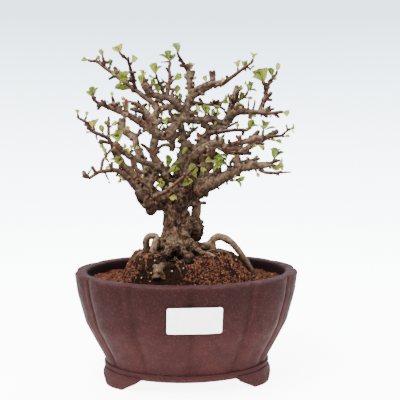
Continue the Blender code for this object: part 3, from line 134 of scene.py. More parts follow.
def smooth_line(rows: Sequence[Sequence[float]], steps: int) -> np.ndarray:
    """Eases rows of numbers by a curve that runs through every one of them.

    Args:
        rows: Rows of the same length.
        steps: How many rows come out of each one.

    Returns:
        The finer rows.
    """
    rows = np.asarray(rows, float)
    padded = np.vstack([2 * rows[0] - rows[1], rows, 2 * rows[-1] - rows[-2]])
    result = []
    for before, start, end, after in zip(padded, padded[1:], padded[2:], padded[3:]):
        square = 2 * before - 5 * start + 4 * end - after
        cube = 3 * start - before - 3 * end + after
        for step in range(steps):
            t = step / steps
            result.append(0.5 * (2 * start + (end - before) * t + square * t ** 2 + cube * t ** 3))
    return np.array(result + [rows[-1]])


# Meshes


def link(obj: Object) -> Object:
    """Puts an object in the scene."""
    bpy.context.scene.collection.objects.link(obj)
    return obj


def make_object(name: str, points: Sequence, faces: Sequence[Face], smooth: bool = True) -> Object:
    """Mesh object from points in millimetres.

    Args:
        name: Name of the object and its mesh.
        points: Places in millimetres.
        faces: Corners of each face, as indices of points.
        smooth: Whether its faces are shaded smooth.

    Returns:
        The object, linked to the scene, with its place in its mesh.
    """
    mesh = bpy.data.meshes.new(name)
    places = np.array([tuple(place) for place in points], float) * MM
    mesh.from_pydata(places.tolist(), [], [list(map(int, face)) for face in faces])
    shade(mesh, smooth)
    mesh.update()
    return link(bpy.data.objects.new(name, mesh))


def closed_object(name: str, points: Sequence, faces: Sequence[Face]) -> Object:
    """Mesh object of closed shells, every face turned outwards.

    Args:
        name: Name of the object and its mesh.
        points: Places in millimetres.
        faces: Corners of each face, as indices of points.

    Returns:
        The object.
    """
    obj = make_object(name, points, faces)
    bm = bmesh.new()
    bm.from_mesh(obj.data)
    bmesh.ops.recalc_face_normals(bm, faces=bm.faces)
    bm.to_mesh(obj.data)
    bm.free()
    return obj


def shade(mesh: Mesh, smooth: bool = True) -> None:
    """Shades every face smooth or flat."""
    mesh.polygons.foreach_set("use_smooth", [smooth] * len(mesh.polygons))


def bake(obj: Object) -> None:
    """Replaces an object's mesh with its evaluated one, modifiers applied.

    Args:
        obj: Object whose modifiers are ready.
    """
    graph = bpy.context.evaluated_depsgraph_get()
    graph.update()
    ready = obj.evaluated_get(graph)
    mesh = bpy.data.meshes.new_from_object(ready, preserve_all_data_layers=True, depsgraph=graph)
    obj.modifiers.clear()
    old, obj.data = obj.data, mesh
    name = old.name
    bpy.data.meshes.remove(old)
    mesh.name = name


def drop_object(obj: Object) -> None:
    """Removes a helper object and its mesh.

    Args:
        obj: The helper.
    """
    mesh = obj.data
    bpy.data.objects.remove(obj)
    if mesh.users == 0:
        bpy.data.meshes.remove(mesh)


def read_rows(items: bpy.types.bpy_prop_collection, key: str, width: int, kind: type) -> np.ndarray:
    """Reads one property of all of a mesh's items.

    Args:
        items: Vertices, edges or normals.
        key: Name of the property.
        width: How many numbers each item has.
        kind: Type of the numbers.

    Returns:
        One row for each item.
    """
    flat = np.empty(len(items) * width, kind)
    items.foreach_get(key, flat)
    return flat.reshape(-1, width)


def points_of(mesh: Mesh) -> np.ndarray:
    """Vertices of a mesh in millimetres, one row each."""
    return read_rows(mesh.vertices, "co", 3, np.float32).astype(float) / MM


def edges_of(mesh: Mesh) -> np.ndarray:
    """Edges of a mesh as pairs of vertex indices."""
    return read_rows(mesh.edges, "vertices", 2, np.int32)


def normals_of(mesh: Mesh) -> np.ndarray:
    """Vertex normals of a mesh, one row each."""
    return read_rows(mesh.vertex_normals, "vector", 3, np.float32).astype(float)


def move_points(mesh: Mesh, points: np.ndarray) -> None:
    """Puts a mesh's vertices at places in millimetres."""
    mesh.vertices.foreach_set("co", (points * MM).astype(np.float32).ravel())
    mesh.update()


def store(mesh: Mesh, name: str, values: np.ndarray) -> None:
    """Keeps one number for each vertex under an attribute's name."""
    layer = mesh.attributes.get(name) or mesh.attributes.new(name, "FLOAT", "POINT")
    layer.data.foreach_set("value", np.asarray(values, np.float32))


def store_vector(mesh: Mesh, name: str, values: np.ndarray) -> None:
    """Keeps one vector for each vertex under an attribute's name."""
    layer = mesh.attributes.new(name, "FLOAT_VECTOR", "POINT")
    layer.data.foreach_set("vector", np.asarray(values, np.float32).ravel())


def merged_copy(node: str) -> Object:
    """Copy of a CAD node whose loose triangles are joined at their corners.

    Args:
        node: Name of the CAD node.

    Returns:
        The copy, linked to the scene.
    """
    mesh = bpy.data.objects[node].data.copy()
    bm = bmesh.new()
    bm.from_mesh(mesh)
    bmesh.ops.remove_doubles(bm, verts=bm.verts, dist=MERGE)
    bm.to_mesh(mesh)
    bm.free()
    return link(bpy.data.objects.new(node + "_copy", mesh))


def surface_tree(obj: Object) -> BVHTree:
    """An object's surface, ready for rays in metres."""
    return BVHTree.FromObject(obj, bpy.context.evaluated_depsgraph_get())


def depth_under(tree: BVHTree, place: Vector, normal: Vector, limit: float = 20.0) -> float:
    """Thickness in millimetres under a point of a surface in metres, or infinity past the limit."""
    hit = tree.ray_cast(place - normal * 0.0003, -normal, limit * MM)
    return math.inf if hit[0] is None else hit[3] / MM


def grid_faces(rows: int, columns: int, wrap: bool = True, capped: bool = False) -> list[Face]:
    """Faces between rows of points, each of the same count.

    Args:
        rows: Number of rows.
        columns: Number of points in a row.
        wrap: Whether the last point of a row is joined to its first.
        capped: Whether the first and the last row are closed by a face each.

    Returns:
        Corner indices of each face.
    """
    faces = []
    for r in range(rows - 1):
        for c in range(columns if wrap else columns - 1):
            d = (c + 1) % columns
            faces.append((r * columns + c, r * columns + d, (r + 1) * columns + d, (r + 1) * columns + c))
    if capped:
        faces += [tuple(range(columns)), tuple(range((rows - 1) * columns, rows * columns))]
    return faces


def neighbour_mean(values: np.ndarray, edges: np.ndarray) -> np.ndarray:
    """Mean of each vertex's neighbours.

    Args:
        values: One number for each vertex.
        edges: Pairs of vertex indices.

    Returns:
        One number for each vertex.
    """
    first, second = edges.T
    count = len(values)
    total = np.bincount(first, values[second], count) + np.bincount(second, values[first], count)
    return total / np.maximum(np.bincount(edges.ravel(), minlength=count), 1)


def relax(points: np.ndarray, edges: np.ndarray, rounds: int, pull: float = 0.5,
          push: float = -0.53) -> np.ndarray:
    """Smooths points over their neighbours and swells them back, so that thin parts keep their girth.

    Args:
        points: Places, one row each.
        edges: Pairs of vertex indices.
        rounds: How many times it is done.
        pull: Share of the way to the neighbours' mean.
        push: Share of the way back from it.

    Returns:
        The smoothed places.
    """
    for _ in range(rounds):
        for weight in (pull, push):
            means = np.column_stack([neighbour_mean(axis, edges) for axis in points.T])
            points = points + weight * (means - points)
    return points


def spread(values: np.ndarray, edges: np.ndarray, rounds: int) -> np.ndarray:
    """Evens one number for each vertex over its neighbours, round by round.

    Args:
        values: One number for each vertex.
        edges: Pairs of vertex indices.
        rounds: How many times it is done.

    Returns:
        The evened numbers.
    """
    for _ in range(rounds):
        values = 0.5 * values + 0.5 * neighbour_mean(values, edges)
    return values


class Shells:
    """Closed tubes gathered into one mesh."""

    def __init__(self) -> None:
        """Starts with none."""
        self.points: list[Vector] = []
        self.faces: list[Face] = []

    def tube(self, line: Sequence[Vector], radii: Sequence[float], sides: int = 6) -> None:
        """Adds a closed tube along a line.

        Args:
            line: Places along its middle, in millimetres.
            radii: Its radius at each of them.
            sides: How many sides it has.
        """
        first = len(self.points)
        side = (line[1] - line[0]).orthogonal().normalized()
        for index, (place, radius) in enumerate(zip(line, radii)):
            ahead = (line[min(index + 1, len(line) - 1)] - line[max(index - 1, 0)]).normalized()
            side = (side - ahead * side.dot(ahead)).normalized()
            other = ahead.cross(side)
            for k in range(sides):
                turn = FULL_TURN * k / sides
                self.points.append(place + (side * math.cos(turn) + other * math.sin(turn)) * radius)
        self.faces += [tuple(first + i for i in face) for face in grid_faces(len(line), sides, capped=True)]

    def build(self, name: str) -> Object:
        """The shells as one object, faces outward."""
        return closed_object(name, self.points, self.faces)


# Node trees


class Graph:
    """Short way to add and join the nodes of a material, a shader group or a geometry tree."""

    def __init__(self, tree: NodeTree) -> None:
        """Works on a node tree."""
        self.tree = tree

    def add(self, kind: str, sockets: dict | None = None, **settings: object) -> Node:
        """Adds a node.

        Args:
            kind: Blender's name of the node type.
            sockets: Input name or index, and the number, colour or socket that it gets.
            settings: The node's own properties.

        Returns:
            The node.
        """
        node = self.tree.nodes.new(kind)
        for name, value in settings.items():
            setattr(node, name, value)
        for key, value in (sockets or {}).items():
            self.feed(node.inputs[key], value)
        return node

    def feed(self, socket: Socket, value: object) -> None:
        """Joins a socket to an input, or sets the input's own value.

        Args:
            socket: The input.
            value: Number, colour or socket.
        """
        if isinstance(value, Socket):
            self.tree.links.new(value, socket)
        else:
            socket.default_value = value

    def math(self, operation: str, first: object, second: object = 0.0) -> Socket:
        """Result of a Math node."""
        return self.add("ShaderNodeMath", {0: first, 1: second}, operation=operation).outputs[0]

    def part(self, mask: object, amount: object) -> Socket:
        """Mask held back to an amount of itself."""
        return self.math("MULTIPLY", mask, amount)

    def mix(self, share: object, first: object, second: object) -> Socket:
        """Colour mixed from two colours or sockets, by the share of the second."""
        first, second = (v if isinstance(v, Socket) else (*v, 1.0) for v in (first, second))
        return self.add("ShaderNodeMix", {0: share, 6: first, 7: second}, data_type="RGBA").outputs[2]

    def between(self, value: object, low: float, high: float, start: float = 0.0, end: float = 1.0) -> Socket:
        """Number that runs from start to end while a value runs from low to high."""
        return self.add("ShaderNodeMapRange", {0: value, 1: low, 2: high, 3: start, 4: end}).outputs[0]

    def noise(self, place: Socket, size: float, detail: float = 4.0, rough: float = 0.6) -> Socket:
        """Noise whose patches are about a size in millimetres across."""
        values = {"Vector": place, "Scale": frequency(size), "Detail": detail, "Roughness": rough}
        return self.add("ShaderNodeTexNoise", values).outputs[0]

    def attribute(self, name: str) -> Socket:
        """Number kept on the mesh under a name."""
        return self.add("ShaderNodeAttribute", attribute_name=name).outputs["Fac"]

    def group(self, tree: NodeTree, sockets: dict) -> Socket:
        """Places a shared shader group with its own values.

        Args:
            tree: The group's tree.
            sockets: Input name, and the number, colour or socket that it gets.

        Returns:
            The group's first output.
        """
        node = self.add("ShaderNodeGroup", node_tree=tree)
        for key, value in sockets.items():
            self.feed(node.inputs[key], value)
        return node.outputs[0]


def frequency(size: float) -> float:
    """Texture scale whose features are about a size in millimetres across."""
    return 1 / (size * MM)


class Effects:
    """Shader groups that more than one finish uses, each built once."""

    def __init__(self) -> None:
        """Builds the groups."""
        self.mottle = self.build_mottle()
        self.relief = self.build_relief()
        self.specks = self.build_specks()

    @staticmethod
    def open_group(name: str, inputs: str, colours: str = "") -> tuple[Graph, Callable[[str], Socket]]:
        """Starts a group whose first input is the place.

        Args:
            name: Name of the group.
            inputs: Names of the numbers that it takes, with commas between them.
            colours: Names of the colours that it takes, with commas between them.

        Returns:
            The graph, and a function that gives an input's socket.
        """
        tree = bpy.data.node_groups.new(name, "ShaderNodeTree")
        sockets = {"Place": "NodeSocketVector"}
        sockets |= {socket: "NodeSocketFloat" for socket in inputs.split(",")}
        sockets |= {socket: "NodeSocketColor" for socket in colours.split(",") if socket}
        for socket, kind in sockets.items():
            tree.interface.new_socket(socket, in_out="INPUT", socket_type=kind)
        graph = Graph(tree)
        source = graph.add("NodeGroupInput")
        return graph, lambda key: source.outputs[key]

    @staticmethod
    def close_group(graph: Graph, name: str, result: Socket, kind: str = "NodeSocketFloat") -> NodeTree:
        """Ends a group with its one output.

        Args:
            graph: The group's graph.
            name: Name of the output.
            result: What it gives.
            kind: Its socket type.

        Returns:
            The group's tree.
        """
        graph.tree.interface.new_socket(name, in_out="OUTPUT", socket_type=kind)
        graph.feed(graph.add("NodeGroupOutput").inputs[name], result)
        return graph.tree

    def build_mottle(self) -> NodeTree:
        """Soft patches of a second tone over a first.

        Returns:
            The group's tree.
        """
        graph, get = self.open_group("mottle", "Frequency,Low,High", "First,Second")
        patches = graph.add("ShaderNodeTexNoise", {"Vector": get("Place"), "Scale": get("Frequency"),
                                                   "Detail": 5.0, "Roughness": 0.62}).outputs[0]
        mask = graph.add("ShaderNodeMapRange", {0: patches, 1: get("Low"), 2: get("High")}).outputs[0]
        colour = graph.mix(mask, get("First"), get("Second"))
        return self.close_group(graph, "Color", colour, "NodeSocketColor")

    def build_relief(self) -> NodeTree:
        """Height of a rough surface: broad lumps with a finer grain over them.

        Returns:
            The group's tree.
        """
        graph, get = self.open_group("relief", "Broad,Fine,Fine share")
        broad = graph.add("ShaderNodeTexNoise", {"Vector": get("Place"), "Scale": get("Broad"),
                                                 "Detail": 3.0})
        fine = graph.add("ShaderNodeTexNoise", {"Vector": get("Place"), "Scale": get("Fine"),
                                                "Detail": 6.0, "Roughness": 0.7})
        grain = graph.part(fine.outputs[0], get("Fine share"))
        return self.close_group(graph, "Height", graph.math("ADD", broad.outputs[0], grain))

    def build_specks(self) -> NodeTree:
        """Mask of small scattered specks.

        Returns:
            The group's tree.
        """
        graph, get = self.open_group("specks", "Frequency,Share")
        cells = graph.add("ShaderNodeTexVoronoi", {"Vector": get("Place"), "Scale": get("Frequency")})
        split = graph.add("ShaderNodeSeparateColor", {0: cells.outputs["Color"]})
        chosen = graph.math("LESS_THAN", split.outputs[0], get("Share"))
        near = graph.between(cells.outputs["Distance"], 0.42, 0.22)
        return self.close_group(graph, "Mask", graph.part(chosen, near))


class Coat(Graph):
    """A material being mixed: its shader, Object coordinates, and the colour so far."""

    def __init__(self, finish: Finish, effects: Effects) -> None:
        """Starts the material with the sheen of its finish.

        Args:
            finish: What the material is.
            effects: The shared shader groups.
        """
        self.material = bpy.data.materials.new(finish.name)
        self.material.use_nodes = True
        super().__init__(self.material.node_tree)
        self.effects = effects
        self.shader = self.tree.nodes["Principled BSDF"]
        self.set("Roughness", finish.roughness)
        self.set("Specular IOR Level", finish.specular)
        self.place = self.add("ShaderNodeTexCoord").outputs["Object"]
        self.colour: Socket | Colour = (0.0, 0.0, 0.0)

    def set(self, name: str, value: object) -> None:
        """Gives one of the shader's inputs a value or a socket."""
        self.feed(self.shader.inputs[name], value)

    def cloud(self, size: float, low: float, high: float, start: float = 0.0, end: float = 1.0) -> Socket:
        """Soft patches: from start to end, where noise of a size runs from low to high."""
        return self.between(self.noise(self.place, size), low, high, start, end)

    def patches(self, size: float, low: float, high: float, first: Colour, second: Colour) -> Socket:
        """Two tones in patches of a size in millimetres."""
        return self.group(self.effects.mottle, {"Place": self.place, "Frequency": frequency(size), "Low": low,
                                                "High": high, "First": (*first, 1), "Second": (*second, 1)})

    def specks(self, size: float, share: float, amount: float) -> Socket:
        """Mask of specks of a size, which a share of the places have, held back to an amount."""
        values = {"Place": self.place, "Frequency": frequency(size), "Share": share}
        return self.part(self.group(self.effects.specks, values), amount)

    def over(self, mask: object, tone: Socket | Colour) -> None:
        """Lays a tone over the colour so far, where a mask lets it."""
        self.colour = self.mix(mask, self.colour, tone)

    def bump(self, height: Socket, depth: float, strength: float) -> None:
        """Raises the surface by a height, of a depth in millimetres."""
        node = self.add("ShaderNodeBump", {"Height": height, "Distance": depth * MM, "Strength": strength})
        self.set("Normal", node.outputs[0])

    def roughen(self, broad: float, fine: float, share: float, depth: float, strength: float) -> None:
        """Raises the surface by broad lumps with finer grain over them.

        Args:
            broad: Size of the lumps, in millimetres.
            fine: Size of the grain, in millimetres.
            share: How high the grain is beside the lumps.
            depth: Height of the relief, in millimetres.
            strength: How much of it shows.
        """
        values = {"Place": self.place, "Broad": frequency(broad), "Fine": frequency(fine),
                  "Fine share": share}
        self.bump(self.group(self.effects.relief, values), depth, strength)


@dataclass(frozen=True)
class Finish:
    """A material by name, with the sheen that is the same all over it."""

    name: str
    roughness: float = 0.8
    specular: float = 0.3

    def paint(self, coat: Coat) -> None:
        """Lays the finish's colours and relief on a coat."""
        raise NotImplementedError

    def build(self, effects: Effects) -> Material:
        """The finish as a material.

        Args:
            effects: The shared shader groups.

        Returns:
            The material.
        """
        coat = Coat(self, effects)
        self.paint(coat)
        coat.set("Base Color", coat.colour)
        return coat.material


@dataclass(frozen=True)
class ClayFinish(Finish):
    """Unglazed purple-brown clay: mottled, finely speckled, greyer and paler on its lip and edges by wear and
    painted highlight, with painted shade towards its top, inside its rim and down its grooves.
    """

    body: Colour = (0.0128, 0.0042, 0.0041)
    warm: Colour = (0.0168, 0.0052, 0.0048)
    # Colour of the painted shade that darkens the wall towards the rim.
    painted_top_shade: Colour = (0.0062, 0.0016, 0.0016)
    lip: Colour = (0.031, 0.0130, 0.0122)
    # Colour of the painted shade inside the rim.
    inside: Colour = (0.009, 0.0042, 0.0042)
    pale: Colour = (0.070, 0.036, 0.033)
    dark: Colour = (0.004, 0.0014, 0.0014)
    rim_height: float = 0.084
    foot_height: float = 0.014

    def paint(self, coat: Coat) -> None:
        """Lays painted shade that darkens the top, a paler tone towards the feet, the specks, painted shade
        inside and in the grooves, and the wear with painted highlights.

        Args:
            coat: Material being mixed.
        """
        coat.colour = coat.patches(26, 0.38, 0.64, self.body, self.warm)
        coat.over(coat.cloud(7.0, 0.45, 0.75, 0, 0.14), self.dark)
        up = coat.add("ShaderNodeSeparateXYZ", {0: coat.place}).outputs[2]
        # Painted shade: the wall darkens towards the rim.
        coat.over(coat.between(up, 0.040, self.rim_height, 0, 0.62), self.painted_top_shade)
        coat.over(coat.between(up, self.foot_height, 0.007, 0, 0.35), self.lip)
        coat.over(coat.specks(0.7, 0.18, 0.42), self.pale)
        coat.over(coat.specks(0.5, 0.30, 0.6), self.dark)
        # Painted shade inside the pot's rim, deeper further down.
        coat.over(coat.attribute("inside"), self.inside)
        # Paler on the lip, the ledge and the lobes' ridges: wear, and painted highlight.
        coat.over(coat.part(coat.attribute("worn"), coat.cloud(5.0, 0.3, 0.6, 0.2, 0.7)), self.lip)
        # Painted shade down the grooves between the lobes.
        coat.over(coat.part(coat.attribute("groove"), 0.28), self.dark)
        coat.set("Roughness", coat.cloud(7.0, 0.3, 0.7, self.roughness - 0.1, self.roughness + 0.1))
        coat.roughen(3.2, 0.5, 0.35, depth=0.35, strength=0.6)


@dataclass(frozen=True)
class BarkFinish(Finish):
    """Bark by girth: ochre and olive on the old trunk, grey-brown boughs, red-brown twigs."""

    ochre: Colour = (0.070, 0.037, 0.0215)
    umber: Colour = (0.0036, 0.0017, 0.0013)
    olive: Colour = (0.0210, 0.0145, 0.0080)
    grey: Colour = (0.080, 0.051, 0.032)
    brown: Colour = (0.0140, 0.0052, 0.0034)
    twig: Colour = (0.052, 0.0230, 0.0145)
    twig_dark: Colour = (0.0105, 0.0042, 0.0030)
    crevice: Colour = (0.0028, 0.0014, 0.0013)
    root: Colour = (0.088, 0.048, 0.027)
    rust: Colour = (0.040, 0.0145, 0.0085)
    bleached: Colour = (0.150, 0.106, 0.070)
    buff: Colour = (0.125, 0.078, 0.046)

    def paint(self, coat: Coat) -> None:
        """Lays the tones by girth, then the roots, grain, weathering with painted light on top, and painted
        shade in crevices and on undersides.

        Args:
            coat: Material being mixed.
        """
        girth = coat.attribute("girth")
        thick = coat.between(girth, 8.0, 16.0)
        trunk = coat.patches(3.8, 0.42, 0.62, self.umber, self.ochre)
        trunk = coat.mix(coat.cloud(9.0, 0.52, 0.66, 0, 0.6), trunk, self.olive)
        trunk = coat.mix(coat.cloud(12.0, 0.36, 0.5, 0.4, 0), trunk, self.rust)
        coat.colour = coat.patches(3.0, 0.38, 0.66, self.twig_dark, self.twig)
        coat.over(coat.between(girth, 2.2, 5.0), coat.patches(4.2, 0.36, 0.62, self.brown, self.grey))
        coat.over(coat.cloud(16.0, 0.52, 0.64, 0, 0.6), self.rust)
        coat.over(thick, trunk)
        coat.over(coat.attribute("root"), coat.patches(3.4, 0.40, 0.66, self.root, self.brown))
        grain = coat.noise(coat.place, 0.9, 5.0, 0.7)
        coat.over(coat.between(grain, 0.40, 0.68, 0, 0.55), self.crevice)
        coat.over(coat.specks(1.3, 0.2, 0.4), self.grey)
        # Weathered pale bark, and painted light on the upper and left-facing sides.
        weathered_and_lit = coat.part(coat.cloud(2.4, 0.38, 0.60, 0, 0.64), coat.attribute("over"))
        coat.over(weathered_and_lit, coat.mix(thick, self.bleached, self.buff))
        # Painted shade in crevices, under the flare and inside the crown, with the damp foot.
        coat.over(coat.attribute("crease"), self.crevice)
        # Painted shade on the wood's undersides.
        coat.over(coat.part(coat.attribute("under"), 0.78), self.crevice)
        coat.roughen(1.6, 0.45, 0.5, depth=0.5, strength=0.8)


@dataclass(frozen=True)
class LeafFinish(Finish):
    """Satin leaf: paler rib, faint side veins, a tint of its own, and a flushed base."""

    cool: Colour = (0.024, 0.038, 0.0008)
    warm: Colour = (0.072, 0.080, 0.0028)
    rib: Colour = (0.120, 0.125, 0.014)
    flush: Colour = (0.100, 0.030, 0.008)
    flush_share: float = 0.35

    def paint(self, coat: Coat) -> None:
        """Lays the tint, the veins, and the flush of foot and rim.

        Args:
            coat: Material being mixed.
        """
        along, across = coat.attribute("along"), coat.attribute("across")
        coat.colour = coat.mix(coat.attribute("tint"), self.cool, self.warm)
        coat.over(coat.cloud(2.0, 0.35, 0.7, 0, 0.4), self.warm)
        swept = coat.math("SUBTRACT", coat.part(along, 34.0), coat.part(across, 9.0))
        vein = coat.between(coat.math("SINE", swept), 0.72, 1.0, 0, 0.28)
        coat.over(vein, self.rib)
        coat.over(coat.between(across, 0.14, 0.03, 0, 0.75), self.rib)
        coat.over(coat.part(coat.between(along, 0.34, 0.02), self.flush_share), self.flush)
        coat.over(coat.part(coat.between(across, 0.86, 1.0), self.flush_share * 0.5), self.flush)
        coat.bump(coat.math("SUBTRACT", coat.between(across, 0.0, 0.2), vein), 0.12, 0.5)
        coat.set("Sheen Weight", 0.05)


@dataclass(frozen=True)
class MottledFinish(Finish):
    """Two tones in patches of a size, with a tint for each grain, some specks and a rough grain."""

    first: Colour = (0.2, 0.1, 0.06)
    second: Colour = (0.3, 0.15, 0.09)
    speck: Colour = (0.05, 0.03, 0.02)
    patch: float = 2.0
    speck_share: float = 0.2
    tinted: bool = True
    depth: float = 0.3

    def paint(self, coat: Coat) -> None:
        """Lays the patches, the tint and the specks.

        Args:
            coat: Material being mixed.
        """
        coat.colour = coat.patches(self.patch, 0.35, 0.65, self.first, self.second)
        if self.tinted:
            tint = coat.attribute("tint")
            coat.over(coat.between(tint, 0.0, 0.5, 0.5, 0.0), self.speck)
            coat.over(coat.between(tint, 0.6, 1.0, 0.0, 0.7), self.second)
        coat.over(coat.specks(self.patch * 0.35, self.speck_share, 0.6), self.speck)
        coat.roughen(self.patch * 0.5, self.patch * 0.12, 0.5, self.depth, strength=0.7)


@dataclass(frozen=True)
class PetalFinish(Finish):
    """Scarlet petal: deeper at its foot, with fine veins that run out to its rim."""

    bright: Colour = (0.048, 0.0004, 0.0016)
    deep: Colour = (0.018, 0.0002, 0.0012)
    edge: Colour = (0.070, 0.0014, 0.0022)

    def paint(self, coat: Coat) -> None:
        """Lays the red, the veins and the deep foot.

        Args:
            coat: Material being mixed.
        """
        coat.colour = coat.mix(coat.cloud(1.8, 0.35, 0.7, 0, 0.5), self.bright, self.edge)
        waves = coat.math("SINE", coat.part(coat.attribute("across"), 38.0))
        vein = coat.between(waves, 0.6, 1.0, 0, 0.35)
        coat.over(vein, self.deep)
        coat.over(coat.between(coat.attribute("along"), 0.42, 0.0), self.deep)
        coat.bump(coat.math("SUBTRACT", 1.0, vein), 0.1, 0.4)
        coat.set("Sheen Weight", 0.15)


class Palette:
    """Every finish of the bonsai as a material."""

    def __init__(self) -> None:
        """Builds the materials from their finishes."""
        effects = Effects()
        self.clay = ClayFinish("unglazed_clay", 0.72, 0.02).build(effects)
        self.bark = BarkFinish("quince_bark", 0.95, 0.02).build(effects)
        self.green = LeafFinish("green_leaf", 0.6, 0.08).build(effects)
        self.young = LeafFinish(
            "young_leaf", 0.6, 0.08, cool=(0.072, 0.078, 0.004), warm=(0.145, 0.138, 0.017),
            rib=(0.220, 0.200, 0.045), flush=(0.150, 0.045, 0.018), flush_share=0.6).build(effects)
        self.petal = PetalFinish("crimson_bud", 0.55, 0.06).build(effects)
        self.open_petal = PetalFinish(
            "scarlet_petal", 0.5, 0.06, bright=(0.074, 0.0003, 0.0003), deep=(0.034, 0.0002, 0.0004),
            edge=(0.098, 0.0009, 0.0006)).build(effects)
        self.stamen = MottledFinish(
            "cream_stamen", 0.7, 0.1, first=(0.400, 0.260, 0.080), second=(0.460, 0.360, 0.160),
            speck=(0.360, 0.180, 0.050), patch=0.9, tinted=False, depth=0.05).build(effects)
        self.calyx = MottledFinish(
            "green_calyx", 0.6, 0.12, first=(0.060, 0.070, 0.010), second=(0.100, 0.075, 0.018),
            speck=(0.210, 0.050, 0.030), patch=1.4, tinted=False, depth=0.08).build(effects)
        self.akadama = MottledFinish(
            "akadama", 0.97, 0.01, first=(0.015, 0.0050, 0.0032), second=(0.084, 0.031, 0.0172),
            speck=(0.012, 0.004, 0.003), patch=1.5).build(effects)
        self.humus = MottledFinish(
            "humus", 0.98, 0.01, first=(0.0015, 0.0009, 0.0008), second=(0.0105, 0.0054, 0.0034),
            speck=(0.040, 0.022, 0.012), patch=1.2, speck_share=0.12).build(effects)
        self.pebble = MottledFinish(
            "pale_pebble", 0.9, 0.04, first=(0.120, 0.062, 0.028), second=(0.200, 0.125, 0.065),
            speck=(0.110, 0.060, 0.035), patch=1.6).build(effects)
        self.bed = MottledFinish(
            "soil_bed", 0.98, 0.01, first=(0.003, 0.0014, 0.0011), second=(0.009, 0.0038, 0.0025),
            speck=(0.006, 0.004, 0.004), patch=3.0, tinted=False, depth=0.6).build(effects)
        self.rootlet = MottledFinish(
            "rootlet", 0.92, 0.03, first=(0.060, 0.030, 0.015), second=(0.120, 0.070, 0.038),
            speck=(0.045, 0.025, 0.015), patch=2.2, tinted=False, depth=0.1).build(effects)
        self.paper = MottledFinish(
            "label_paper", 0.55, 0.35, first=(0.48, 0.45, 0.46), second=(0.53, 0.50, 0.51),
            speck=(0.43, 0.41, 0.42), patch=6.0, speck_share=0.05, tinted=False, depth=0.03).build(effects)
        self.mesh_plastic = MottledFinish(
            "mesh_plastic", 0.55, 0.4, first=(0.006, 0.006, 0.006), second=(0.018, 0.017, 0.017),
            speck=(0.060, 0.040, 0.030), patch=2.5, speck_share=0.1, tinted=False, depth=0.08).build(effects)


def report(obj: Object, replaced: Sequence[str] = ()) -> None:
    """Rides a finished piece on the part's body and what it stands for, and logs it.

    Args:
        obj: The piece.
        replaced: Names of the CAD nodes that it takes the place of.
    """
    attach(obj, BODY)
    if replaced:
        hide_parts(*replaced)
    obj.data.calc_loop_triangles()
    LOG.info("%s: %d triangles, for %s", obj.name, len(obj.data.loop_triangles),
             ", ".join(replaced) or "no node")


def dress(obj: Object, material: Material, replaced: Sequence[str] = ()) -> Object:
    """Gives a finished piece its one material and hands it over.

    Args:
        obj: The piece.
        material: What it is made of.
        replaced: Names of the CAD nodes that it takes the place of.

    Returns:
        The piece.
    """
    obj.data.materials.clear()
    obj.data.materials.append(material)
    report(obj, replaced)
    return obj


# Geometry Nodes


class ScatterSizes(NamedTuple):
    """What a scatter tree takes: least gap between grains, range of their scale, seed."""

    gap: float
    smallest: float
    largest: float
    seed: int


class Placement(NamedTuple):
    """One pattern's place, turn (as a matrix's columns), size along its three axes, form and tint."""

    place: Vector
    turn: Matrix
    size: tuple[float, float, float]
    form: int
    tint: float


